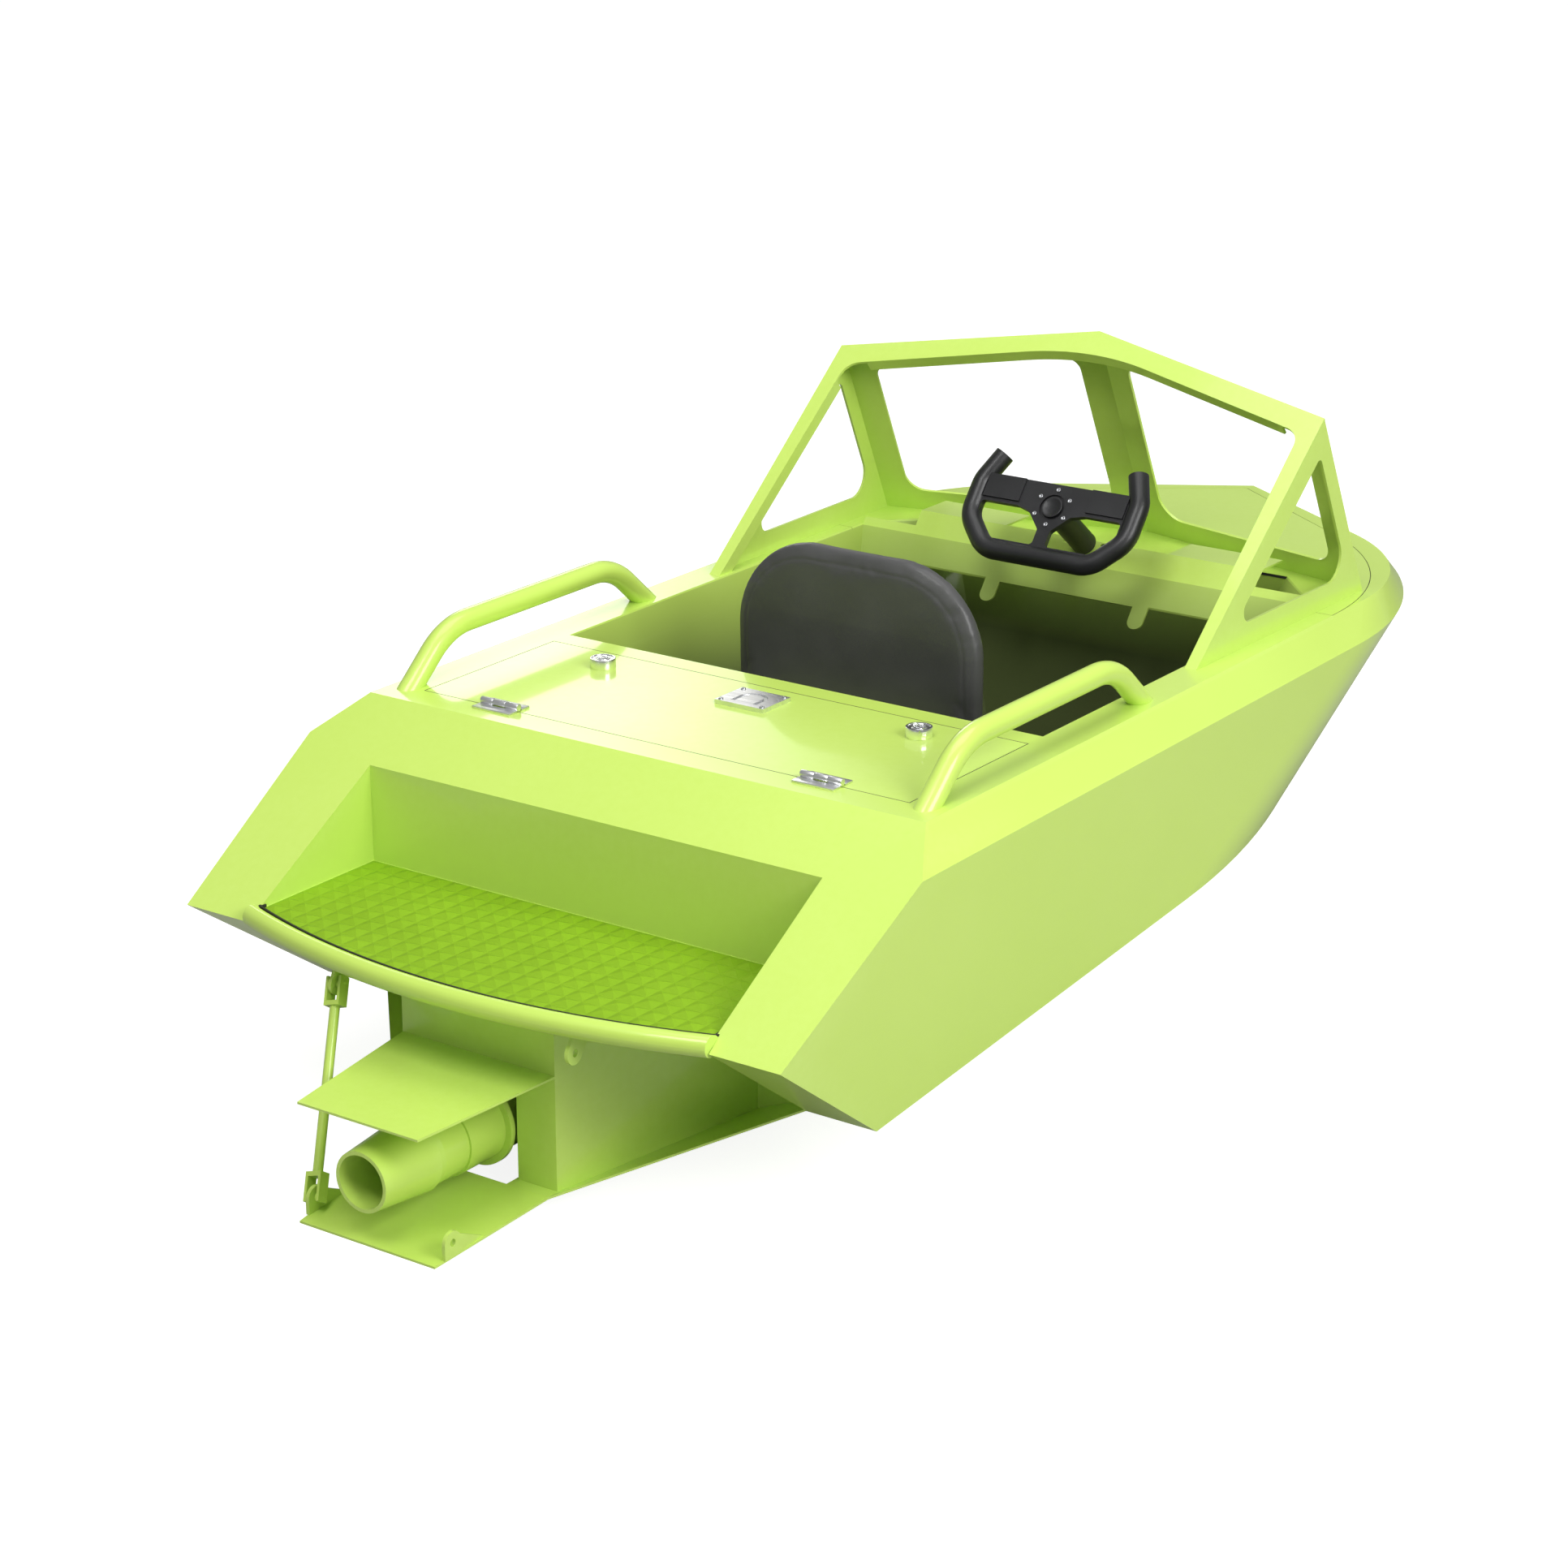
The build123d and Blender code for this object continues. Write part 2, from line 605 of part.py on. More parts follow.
# Helm: console sheet square to the column, dash boxes beside it
column_dir = Vector(0, cos(radians(column_tilt)), -sin(radians(column_tilt)))
wheel_centre = Vector(0, wheel_y, wheel_z)
wheel_plane = Plane(origin=wheel_centre, x_dir=(1, 0, 0), z_dir=-column_dir)
console_centre = wheel_centre + column_dir * column_len
console_plane = Plane(origin=console_centre, x_dir=(1, 0, 0), z_dir=-column_dir)
column = extrude(console_plane * Circle(column_r), amount=column_len - hub_h - seat_gap)
console_rise = cos(radians(column_tilt))
console_top = (dash_top_z - console_centre.Z) / console_rise
console_low = (dash_low_z - dash_t - console_centre.Z) / console_rise
console_face = Pos(0, (console_top + console_low) / 2) * Rectangle(2 * console_half, console_top - console_low)
for side in (-1, 1):
    tongue_x = side * (console_half - tongue_r)
    tongue = Pos(0, -tongue_len / 2) * Rectangle(2 * tongue_r, tongue_len) + Pos(0, -tongue_len) * Circle(tongue_r)
    console_face = console_face + Pos(tongue_x, console_low) * tongue
    console_face = console_face - Pos(side * switch_hole_x, 0) * Circle(switch_hole_r)
console = console_plane * extrude(console_face, amount=-dash_t)

# Butterfly wheel: a round grip open at the top, a window plate across it and a recessed hub
grip_side = [(wheel_horn_half, wheel_horn_top), (wheel_half, wheel_side_top), (wheel_half, wheel_side_low),
             (wheel_bar_half, wheel_bar)]
grip_points = grip_side + [(-u, v) for u, v in reversed(grip_side)]
grip_path = FilletPolyline(*grip_points, radius=wheel_bend_r)
grip = Part() + [
    sweep(Plane(origin=run @ 0, x_dir=(0, 0, 1), z_dir=run % 0) * Circle(wheel_grip_r), path=run)
    for run in grip_path.edges()
]
plate_side = [(wheel_half, wheel_plate_top)] + grip_side[2:]
wheel_plate = make_face(Polyline(*plate_side, *[(-u, v) for u, v in reversed(plate_side)], close=True))
window_top = -hub_r / 4
window_low = wheel_bar + wheel_grip_r
window = fillet(make_face(Polyline(
    (wheel_pad_in, window_top), (wheel_half - wheel_grip_r, window_top),
    (wheel_half - wheel_grip_r, wheel_side_low), (wheel_bar_half, window_low),
    (hub_bore_r, window_low), (hub_bore_r, -1.6 * hub_r), (1.5 * hub_r, -hub_r / 2), close=True)).vertices(),
    wheel_window_r)
wheel_plate = wheel_plate - window - mirror(window, about=Plane.YZ) - Circle(hub_bore_r)
wheel = Pos(0, 0, -wheel_plate_sink) * extrude(wheel_plate, amount=wheel_plate_t + wheel_plate_sink) + grip
pad = block(wheel_pad_in, wheel_pad_out, 0, wheel_plate_top, wheel_plate_t / 2, wheel_plate_t + wheel_pad_rise)
wheel = wheel + pad + mirrored(pad)
wheel = wheel - Pos(0, 0, wheel_plate_t - hub_recess) * extrude(Circle(hub_recess_r), amount=hub_recess)
wheel = wheel_plane * (wheel + Pos(0, 0, -hub_h) * extrude(Circle(hub_r), amount=hub_h))


def dash_box(x0, x1):
    """Angled dash face between two x values, in the console's plane, with a lip under it."""
    low = console_plane * Pos(0, (dash_low_z - console_centre.Z) / console_rise, 0)
    top = console_plane * Pos(0, console_top, 0)
    low_y = low.position.Y
    top_y = top.position.Y
    return side_profile([
        (low_y, dash_low_z), (top_y, dash_top_z), (top_y + dash_fwd, dash_top_z),
        (top_y + dash_fwd, dash_top_z - dash_t),
        (top_y + dash_t, dash_top_z - dash_t), (low_y + dash_t, dash_low_z),
        (low_y + dash_lip, dash_low_z - dash_lip_drop), (low_y + dash_lip, dash_low_z - dash_lip_drop - dash_t),
        (low_y, dash_low_z - dash_t)]) & block(x0, x1, 0, 2000, -200, 200)


dash_room = cockpit_space + block(-cockpit_half, cockpit_half, 0, cockpit_mid_y, 0, 100) + block(
    -cockpit_fwd_half, cockpit_fwd_half, 0, cockpit_fwd_y, 0, 100)
dash_starboard = dash_box(console_half, cockpit_half) & dash_room
dash_port = dash_box(-cockpit_half, -console_half) & dash_room
keyhole = Pos(key_x, 0, 0) * Cylinder(key_r, 4 * dash_t)
keyhole = keyhole + Pos(key_x - key_r * sin(radians(45)), -key_r * cos(radians(45)), 0) * (
    Rot(0, 0, 45) * Box(key_notch, key_notch, 4 * dash_t))
dash_starboard = dash_starboard - console_plane * keyhole
dash_port = dash_port - console_plane * (Pos(panel_hole_x, 0, 0) * Box(panel_hole_w, panel_hole_h, 4 * dash_t))

# Seat
back_face = fillet(
    make_face(Polyline((-back_half, back_low_z), (back_half, back_low_z), (back_half, back_top_z),
                       (-back_half, back_top_z), close=True)).vertices().group_by(Axis.Y)[-1], back_corner_r)
backrest = Pos(0, back_y, 0) * extrude(Plane.XZ * back_face, amount=-back_t)
cushion_aft_y = back_y + back_t + cushion_gap
cushion_fwd_y = cushion_aft_y + cushion_depth
cushion = block(-cushion_half, cushion_half, cushion_aft_y, cushion_fwd_y, seat_base_z, seat_base_z + cushion_t)
seat_aft_y = back_y - back_frame_t
seat_base = block(-cushion_half, cushion_half, seat_aft_y, cushion_fwd_y, sole_z + sole_t, seat_base_z)
seat_back_frame = block(-back_frame_half, back_frame_half, seat_aft_y, back_y - seat_gap, seat_base_z,
                        back_frame_top_z)
sole = cockpit_space & block(-600, 600, 0, 2000, sole_z, sole_z + sole_t)

# Jet pod: side plates that flare forward to the transom, and a rear plate with an open door
pod_plan = make_face(Polyline((pod_half, pod_aft_y), (pod_fwd_half, transom_face_y),
                              (pod_fwd_half - pod_t, transom_face_y), (pod_half - pod_t, pod_aft_y), close=True))
pod_side = (Pos(0, 0, pad_z) * extrude(pod_plan, amount=platform_low_z - pad_z)) - below_wing
rear_plate = block(-pod_half + pod_t, pod_half - pod_t, pod_aft_y, pod_aft_y + pod_t, pad_z + wing_t, platform_low_z)
rear_plate = rear_plate - block(-pod_door_half, pod_door_half, pod_aft_y - 5, pod_aft_y + 9, pad_z,
                                splash_z_fwd - pod_t)
rear_plate = rear_plate - pod_side - mirrored(pod_side)


def jet_plate(y_aft, z_aft, half_aft, y_fwd, z_fwd, half_fwd, top_down):
    """A flat tapered plate behind the pod; its measured face is the top one where top_down is true."""
    drop = -wing_t if top_down else wing_t
    section = side_profile([(y_aft, z_aft), (y_fwd, z_fwd), (y_fwd, z_fwd + drop), (y_aft, z_aft + drop)])
    plan = make_face(Polyline((-half_aft, y_aft), (half_aft, y_aft), (half_fwd, y_fwd), (-half_fwd, y_fwd),
                              close=True))
    return section & (Pos(0, 0, -700) * extrude(plan, amount=700))


splash = jet_plate(splash_y_aft, splash_z_aft, splash_half_aft, pod_aft_y, splash_z_fwd, pod_half, True)
ride = jet_plate(ride_y_aft, ride_z_aft, ride_half_aft, wing_aft_y, pad_z, pad_half, False)


def ring_profile(points):
    """A body of revolution about the jet's axis from (y, radius) points."""
    face = make_face(Polyline(*[(r, y) for y, r in points], close=True))
    return Pos(0, 0, jet_z) * revolve(face, axis=Axis.Y)


def along_jet(y, radius, length):
    """A cylinder on the jet's axis, centred at y."""
    return Pos(0, y, jet_z) * (Rot(90, 0, 0) * Cylinder(radius, length))


def ball_arc(radius, last_angle):
    """The ball's outline from its middle to the given angle aft, in short straight steps."""
    angles = [radians(a) for a in range(0, last_angle + 1, ball_step)]
    return [(ball_y - radius * sin(a), radius * cos(a)) for a in angles]


def around_jet(count, shape):
    """Copies of a shape in equal steps round the jet's axis."""
    steps = [Pos(0, 0, jet_z) * Rot(0, n * 360 / count, 0) * Pos(0, 0, -jet_z) for n in range(count)]
    return [step * shape for step in steps]


# The tube narrows aft of the stator and ends in a hollow ball; the swivelling nozzle is seated over it
ball_points = ball_arc(ball_r, ball_angle)
stator_aft_y = stator_y - stator_len / 2
jet_tube = ring_profile([
    *ball_points, (ball_points[-1][0], ball_bore_r), (collar_y, ball_bore_r), (stator_aft_y, tube_bore_r),
    (transom_y, tube_bore_r), (transom_y, tube_r), (pod_aft_y, tube_r), (pod_aft_y, flange_r),
    (pod_aft_y - flange_t, flange_r), (pod_aft_y - flange_t, tube_r), (collar_y, tube_r), (collar_y, ball_r)])
vane_root = impeller_hub_r - 1
vane_span = tube_bore_r + 1 - vane_root
vane_place = Pos(0, stator_y, jet_z + vane_root + vane_span / 2)
stator = along_jet(stator_y, impeller_hub_r, stator_len) + around_jet(
    stator_vanes, vane_place * Box(blade_t, stator_len, vane_span))
stator = stator - along_jet(stator_y + stator_len / 2, shaft_r + pin_clear, stator_len)
jet_tube = jet_tube + stator

# The socket's steps stand off the ball by the clearance at the middle of each step
socket_r = (ball_r + ball_clear) / cos(radians(ball_step / 2))
socket_points = ball_arc(socket_r, ball_angle + ball_step)
socket = ring_profile([(ball_y, 0), *socket_points, (socket_points[-1][0], 0)])
nozzle = ring_profile([(nozzle_aft_y, nozzle_bore_r), (nozzle_aft_y, nozzle_rim_r), (nozzle_fwd_y, nozzle_root_r),
                       (nozzle_fwd_y, nozzle_bore_r)]) - socket

# Impeller: pitched blades on a hub, its shaft carried in the stator's bearing
blade_place = Pos(0, impeller_y, jet_z + vane_root + vane_span / 2) * Rot(0, 0, blade_pitch)
impeller = along_jet(impeller_y, impeller_hub_r, impeller_len) + around_jet(
    impeller_blades, blade_place * Box(blade_t, blade_len, vane_span))
impeller = impeller & along_jet(impeller_y, tube_bore_r - impeller_clear, impeller_len)
shaft_aft = stator_y + 2
impeller = impeller + along_jet((shaft_aft + transom_face_y) / 2, shaft_r, transom_face_y - shaft_aft)

# Lugs on the platform and the ride plate, and the adjuster rod on the port pair
upper_web = [(upper_lug_y - lug_eye_r, upper_lug_z), (upper_lug_y + upper_web_aft, platform_low_z),
             (upper_lug_y + upper_web_fwd, platform_low_z), (upper_lug_y + lug_hole_r, upper_lug_z - lug_web_neck)]
lower_web = [(lower_lug_y - lug_eye_r, lower_lug_z), (lower_lug_y - lug_eye_r, lower_lug_z - lower_web_low),
             (lower_lug_y + lower_web_len, lower_lug_z - lower_web_low),
             (lower_lug_y + lower_web_len, lower_lug_z - lug_eye_r),
             (lower_lug_y + lug_hole_r, lower_lug_z + lug_web_neck)]
ride_slope = (pad_z - ride_z_aft) / (wing_aft_y - ride_y_aft)
below_ride_aft = ride_y_aft - lug_eye_r
below_ride = side_profile([(below_ride_aft, -700), (below_ride_aft, ride_z_aft + wing_t - lug_eye_r * ride_slope),
                           (wing_aft_y, pad_z + wing_t), (wing_aft_y, -700)])


def lug(x, y, z, web):
    """A lug plate in the boat's length with a pin hole across it."""
    plate = side_profile(web, half=lug_t / 2) + (Pos(0, y, z) * (Rot(0, 90, 0) * Cylinder(lug_eye_r, lug_t)))
    plate = plate - (Pos(0, y, z) * (Rot(0, 90, 0) * Cylinder(lug_hole_r, 2 * lug_t)))
    return Pos(x, 0, 0) * plate


upper_lugs = Part() + [lug(side * upper_lug_x, upper_lug_y, upper_lug_z, upper_web) for side in (-1, 1)]
lower_lugs = Part() + [lug(side * lower_lug_x, lower_lug_y, lower_lug_z, lower_web) for side in (-1, 1)]
ride = ride + (lower_lugs - below_ride)

rod_top = Vector(-upper_lug_x, upper_lug_y, upper_lug_z)
rod_low = Vector(-lower_lug_x, lower_lug_y, lower_lug_z)
rod_line = rod_low - rod_top
rod_plane = Plane(origin=rod_top, x_dir=(1, 0, 0), z_dir=rod_line)
fork_base = clevis_len - clevis_pin_end
fork = Pos(0, 0, clevis_len / 2 - clevis_pin_end) * Box(clevis_w, clevis_d, clevis_len)
fork = fork - (Pos(0, 0, clevis_depth - clevis_len / 2) * Box(clevis_slot, 2 * clevis_d, clevis_len))
low_fork = Pos(0, 0, rod_line.length) * (Rot(180, 0, 0) * fork)
shank = Pos(0, 0, fork_base) * extrude(Circle(rod_r), amount=rod_line.length - 2 * fork_base)
rod = rod_plane * (fork + low_fork + shank)
for end in (rod_top, rod_low):
    rod = rod + (Pos(end.X, end.Y, end.Z) * (Rot(0, 90, 0) * Cylinder(lug_hole_r - pin_clear, clevis_w)))

# Battery and motor under the hatch
load_y = bay_aft_y + load_aft_gap
load_z = sole_z + seat_gap
battery = block(-load_x - battery_w / 2, -load_x + battery_w / 2, load_y, load_y + battery_len,
                load_z, sole_z + battery_h)
motor = block(load_x - motor_w / 2, load_x + motor_w / 2, load_y, load_y + motor_len,
              load_z, sole_z + motor_h)

os.makedirs("parts", exist_ok=True)
write("stern_panel", stern_panel)
write("stern_undersides", stern_undersides)
write("transom", transom)
write("bottom_wing_starboard", wing_starboard)
write("bottom_wing_port", mirrored(wing_starboard))
write("jet_pod", Compound([rear_plate, pod_side, mirrored(pod_side)]))
write("platform_lugs", upper_lugs)
write("adjuster_rod", rod)
write("hatch_hinge_leaves", Compound(lid_leaves))
write("deck_hinge_leaves", Compound(deck_leaves))
write("hatch_knobs", Compound(knobs))
write("hatch_latch", latch)
write("stern_block", stern_block)
write("aft_bulkhead", aft_bulkhead)
write("gunwale_starboard", gunwale_starboard)
write("gunwale_port", mirrored(gunwale_starboard))
write("gunwale_bow", gunwale_bow)
write("side_starboard", side_starboard)
write("side_port", mirrored(side_starboard))
write("bow_body", bow_body)
write("bottom_starboard", bottom_starboard)
write("bottom_port", mirrored(bottom_starboard))
write("intake_grille", grille)
write("deck_aft", deck_aft)
write("foredeck", foredeck)
write("platform_plate", platform)
write("platform_mat", mat)
write("platform_edge_tube", edge_tube)
write("hatch_lid", lid)
write("hatch_coaming", coaming)
write("rail_starboard", rail)
write("rail_port", mirrored(rail))
write("screen_front_starboard", front_starboard)
write("screen_front_port", mirrored(front_starboard))
write("screen_side_starboard", side_screen)
write("screen_side_port", mirrored(side_screen))
write("screen_hoop", hoop)
write("helm_console", console)
write("steering_column", column)
write("steering_wheel", wheel)
write("dash_starboard", dash_starboard)
write("dash_port", dash_port)
write("backrest", backrest)
write("seat_cushion", cushion)
write("seat_base", seat_base + seat_back_frame)
write("cockpit_sole", sole)
write("jet_tube", jet_tube)
write("steering_nozzle", nozzle)
write("impeller", impeller)
write("splash_plate", splash)
write("ride_plate", ride)
write("battery_block", battery)
write("motor_block", motor)
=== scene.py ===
import bpy
import bmesh
import json
import math
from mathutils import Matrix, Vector


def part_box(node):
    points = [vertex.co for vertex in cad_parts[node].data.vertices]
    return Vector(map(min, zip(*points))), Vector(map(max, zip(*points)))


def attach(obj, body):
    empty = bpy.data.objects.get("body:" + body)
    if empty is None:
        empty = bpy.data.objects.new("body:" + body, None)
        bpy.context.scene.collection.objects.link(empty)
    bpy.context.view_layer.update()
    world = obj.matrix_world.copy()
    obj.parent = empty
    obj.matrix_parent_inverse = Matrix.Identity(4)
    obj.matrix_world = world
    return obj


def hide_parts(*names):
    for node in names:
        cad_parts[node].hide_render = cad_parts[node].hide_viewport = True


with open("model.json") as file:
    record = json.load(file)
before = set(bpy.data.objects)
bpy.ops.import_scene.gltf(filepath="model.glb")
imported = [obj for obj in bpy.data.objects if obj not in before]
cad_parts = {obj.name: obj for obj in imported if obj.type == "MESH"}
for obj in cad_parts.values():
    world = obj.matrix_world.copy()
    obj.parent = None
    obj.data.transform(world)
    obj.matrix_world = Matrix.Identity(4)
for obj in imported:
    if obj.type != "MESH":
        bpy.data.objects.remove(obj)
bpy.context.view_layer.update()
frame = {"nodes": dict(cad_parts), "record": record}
print("frame loaded:", len(frame["nodes"]), "nodes")

# the boat is drawn in millimetres from the deck's stern edge and the deck's top
deckStern = -598
deckTop = 482


def spot(x, y, z):
    return Vector((x / 1000, (y + deckStern) / 1000, (z + deckTop) / 1000))


def mm(value):
    return value / 1000


# node helpers

def addNode(tree, kind, place, **values):
    node = tree.nodes.new(kind)
    node.location = place
    for key, value in values.items():
        setattr(node, key, value)
    return node


def addMath(tree, operation, place, *values):
    # each value is a number or another node's output
    node = addNode(tree, "ShaderNodeMath", place, operation=operation)
    for socket, value in zip(node.inputs, values):
        if isinstance(value, (int, float)):
            socket.default_value = value
        else:
            tree.links.new(value, socket)
    return node.outputs[0]


def mapRange(tree, value, place, source=(0, 1), target=(0, 1), **values):
    node = addNode(tree, "ShaderNodeMapRange", place, **values)
    for label, number in zip(("From Min", "From Max", "To Min", "To Max"), (*source, *target)):
        node.inputs[label].default_value = number
    tree.links.new(value, node.inputs["Value"])
    return node.outputs[0]


# camera: metres, degrees, and millimetres for the lens

cameraSettings = {
    "place": (2.7260, -4.1190, 1.9978),
    "pitchDown": 19.2914,
    "turn": 35.248,
    "lens": 83.56,
    "sensor": 36,
}


def addCamera(settings):
    data = bpy.data.cameras.new("boatCamera")
    data.lens = settings["lens"]
    data.sensor_width = settings["sensor"]
    data.sensor_fit = 'HORIZONTAL'
    camera = bpy.data.objects.new("boatCamera", data)
    bpy.context.collection.objects.link(camera)
    camera.location = settings["place"]
    camera.rotation_euler = (math.radians(90 - settings["pitchDown"]), 0, math.radians(settings["turn"]))
    bpy.context.scene.camera = camera


addCamera(cameraSettings)

# light: a white studio with its key to starboard

lightSettings = {
    "skyStrength": 0.30,
    "backdropStrength": 1.2,  # what the camera sees behind the boat
    "lamps": [
        # name, place, target, size, watts
        ("keyLamp", (4.6, -1.2, 3.2), (0, 0, 0.4), (3.0, 2.6), 208),
        ("topLamp", (0.2, 0.4, 4.4), (0, 0.2, 0.4), (2.6, 3.4), 62),
        ("sternLamp", (0.3, -2.9, 4.6), (0, -0.7, 0.4), (2.2, 1.8), 90),
    ],
}


def addLight(settings):
    world = bpy.data.worlds.new("studio")
    bpy.context.scene.world = world
    world.use_nodes = True
    tree = world.node_tree
    path = addNode(tree, "ShaderNodeLightPath", (-500, 0))
    strength = mapRange(tree, path.outputs["Is Camera Ray"], (-250, 0),
                        target=(settings["skyStrength"], settings["backdropStrength"]))
    tree.nodes["Background"].inputs["Color"].default_value = (1, 1, 1, 1)
    tree.links.new(strength, tree.nodes["Background"].inputs["Strength"])
    for name, place, target, size, power in settings["lamps"]:
        data = bpy.data.lights.new(name, 'AREA')
        data.shape = 'RECTANGLE'
        data.size, data.size_y = size
        data.energy = power
        lamp = bpy.data.objects.new(name, data)
        bpy.context.collection.objects.link(lamp)
        lamp.location = place
        lamp.rotation_euler = (Vector(target) - Vector(place)).to_track_quat('-Z', 'Y').to_euler()
    bpy.context.scene.view_settings.view_transform = 'Standard'
    bpy.context.scene.view_settings.look = 'None'


addLight(lightSettings)


# two effects that the materials share

def newGroup(name, inputs, outputs):
    tree = bpy.data.node_groups.new(name, 'ShaderNodeTree')
    for label, kind, value in inputs:
        socket = tree.interface.new_socket(name=label, in_out='INPUT', socket_type=kind)
        if value is not None:
            socket.default_value = value
    for label, kind in outputs:
        tree.interface.new_socket(name=label, in_out='OUTPUT', socket_type=kind)
    return tree, addNode(tree, "NodeGroupInput", (-900, 0)), addNode(tree, "NodeGroupOutput", (700, 0))


grainSettings = {"grainDetail": 3, "patchDetail": 2, "patchRange": (0.3, 0.7)}


def makeSurfaceGrain(settings):
    # fine grain for a height, and slow patches for colour and roughness
    tree, start, end = newGroup(
        "surfaceGrain",
        [("Vector", 'NodeSocketVector', None), ("Grain Scale", 'NodeSocketFloat', 600.0),
         ("Patch Scale", 'NodeSocketFloat', 5.0)],
        [("Height", 'NodeSocketFloat'), ("Patches", 'NodeSocketFloat')])
    grain = addNode(tree, "ShaderNodeTexNoise", (-500, 200))
    grain.inputs["Detail"].default_value = settings["grainDetail"]
    patches = addNode(tree, "ShaderNodeTexNoise", (-500, -200))
    patches.inputs["Detail"].default_value = settings["patchDetail"]
    for texture, scale in ((grain, "Grain Scale"), (patches, "Patch Scale")):
        tree.links.new(start.outputs["Vector"], texture.inputs["Vector"])
        tree.links.new(start.outputs[scale], texture.inputs["Scale"])
    spread = mapRange(tree, patches.outputs["Fac"], (0, -200), source=settings["patchRange"])
    tree.links.new(grain.outputs["Fac"], end.inputs["Height"])
    tree.links.new(spread, end.inputs["Patches"])
    return tree


wearSettings = {"edgeRange": (0.52, 0.60), "noiseScale": 90}


def makeWornEdges(settings):
    # a mask on convex edges, broken up by noise
    tree, start, end = newGroup(
        "wornEdges",
        [("Vector", 'NodeSocketVector', None), ("Amount", 'NodeSocketFloat', 0.5)],
        [("Mask", 'NodeSocketFloat')])
    geometry = addNode(tree, "ShaderNodeNewGeometry", (-700, 200))
    edge = mapRange(tree, geometry.outputs["Pointiness"], (-400, 200), source=settings["edgeRange"])
    noise = addNode(tree, "ShaderNodeTexNoise", (-700, -100))
    noise.inputs["Scale"].default_value = settings["noiseScale"]
    tree.links.new(start.outputs["Vector"], noise.inputs["Vector"])
    broken = addMath(tree, 'MULTIPLY', (-100, 100), edge, noise.outputs["Fac"])
    mask = addMath(tree, 'MULTIPLY', (150, 100), broken, start.outputs["Amount"])
    tree.links.new(mask, end.inputs["Mask"])
    return tree


surfaceGrain = makeSurfaceGrain(grainSettings)
wornEdges = makeWornEdges(wearSettings)

# a glowing panel with soft edges beyond the port bow, seen only as the pale sheen on the hatch

softBoxSettings = {"place": (-4.3, 4.0, 2.5), "target": (-0.25, -0.35, 0.5), "size": 3.2, "glow": 3.8,
                   "tint": (1, 0.99, 0.94, 1), "fade": (0.5, 0.08)}


def addSoftBox(settings):
    bpy.ops.object.select_all(action='DESELECT')
    bpy.ops.mesh.primitive_plane_add(size=settings["size"], location=settings["place"])
    panel = bpy.context.object
    panel.name = "softBox"
    aim = Vector(settings["target"]) - Vector(settings["place"])
    panel.rotation_euler = aim.to_track_quat('Z', 'Y').to_euler()
    material = bpy.data.materials.new("softBoxGlow")
    material.use_nodes = True
    tree = material.node_tree
    shader = tree.nodes["Principled BSDF"]
    shader.inputs["Base Color"].default_value = (0, 0, 0, 1)
    shader.inputs["Emission Color"].default_value = settings["tint"]
    coordinates = addNode(tree, "ShaderNodeTexCoord", (-900, 0))
    fromMiddle = addNode(tree, "ShaderNodeVectorMath", (-700, 0), operation='DISTANCE')
    fromMiddle.inputs[1].default_value = (0.5, 0.5, 0)
    tree.links.new(coordinates.outputs["UV"], fromMiddle.inputs[0])
    glow = mapRange(tree, fromMiddle.outputs["Value"], (-450, 0), source=settings["fade"],
                    target=(0, settings["glow"]), interpolation_type='SMOOTHSTEP')
    tree.links.new(glow, shader.inputs["Emission Strength"])
    panel.data.materials.append(material)
    panel.visible_camera = False


addSoftBox(softBoxSettings)
print("camera and light set")


# material helpers

def startMaterial(name):
    material = bpy.data.materials.new(name)
    material.use_nodes = True
    tree = material.node_tree
    tree.nodes.clear()
    shader = addNode(tree, "ShaderNodeBsdfPrincipled", (600, 0))
    output = addNode(tree, "ShaderNodeOutputMaterial", (900, 0))
    tree.links.new(shader.outputs[0], output.inputs[0])
    coordinates = addNode(tree, "ShaderNodeTexCoord", (-1000, 0))
    return material, tree, shader, coordinates.outputs["Object"]


def placeGroup(tree, group, vector, place, **values):
    node = addNode(tree, "ShaderNodeGroup", place, node_tree=group)
    tree.links.new(vector, node.inputs["Vector"])
    for label, value in values.items():
        node.inputs[label.replace("_", " ")].default_value = value
    return node


def mixColour(tree, factor, first, second, place):
    mix = addNode(tree, "ShaderNodeMix", place, data_type='RGBA')
    tree.links.new(factor, mix.inputs[0])
    for socket, colour in ((mix.inputs[6], first), (mix.inputs[7], second)):
        if isinstance(colour, tuple):
            socket.default_value = (*colour, 1)
        else:
            tree.links.new(colour, socket)
    return mix.outputs[2]


def addBump(tree, shader, height, distance, strength):
    bump = addNode(tree, "ShaderNodeBump", (300, -300))
    bump.inputs["Strength"].default_value = strength
    bump.inputs["Distance"].default_value = distance
    tree.links.new(height, bump.inputs["Height"])
    tree.links.new(bump.outputs[0], shader.inputs["Normal"])


# paint of the hull: lime enamel with a clear coat, a faint orange peel, and a painted shade in the cockpit

paintSettings = {
    "lime": (0.585, 0.80, 0.135),
    "limeDeep": (0.560, 0.78, 0.122),
    "edgeTone": (0.66, 0.88, 0.22),
    "roughness": (0.31, 0.38),
    "coat": 0.55,
    "coatRoughness": 0.07,
    "grain": 420.0,
    "patches": 3.0,
    "wear": 0.35,
    "bumpDistance": 0.0002,
    "bump": 0.04,
}
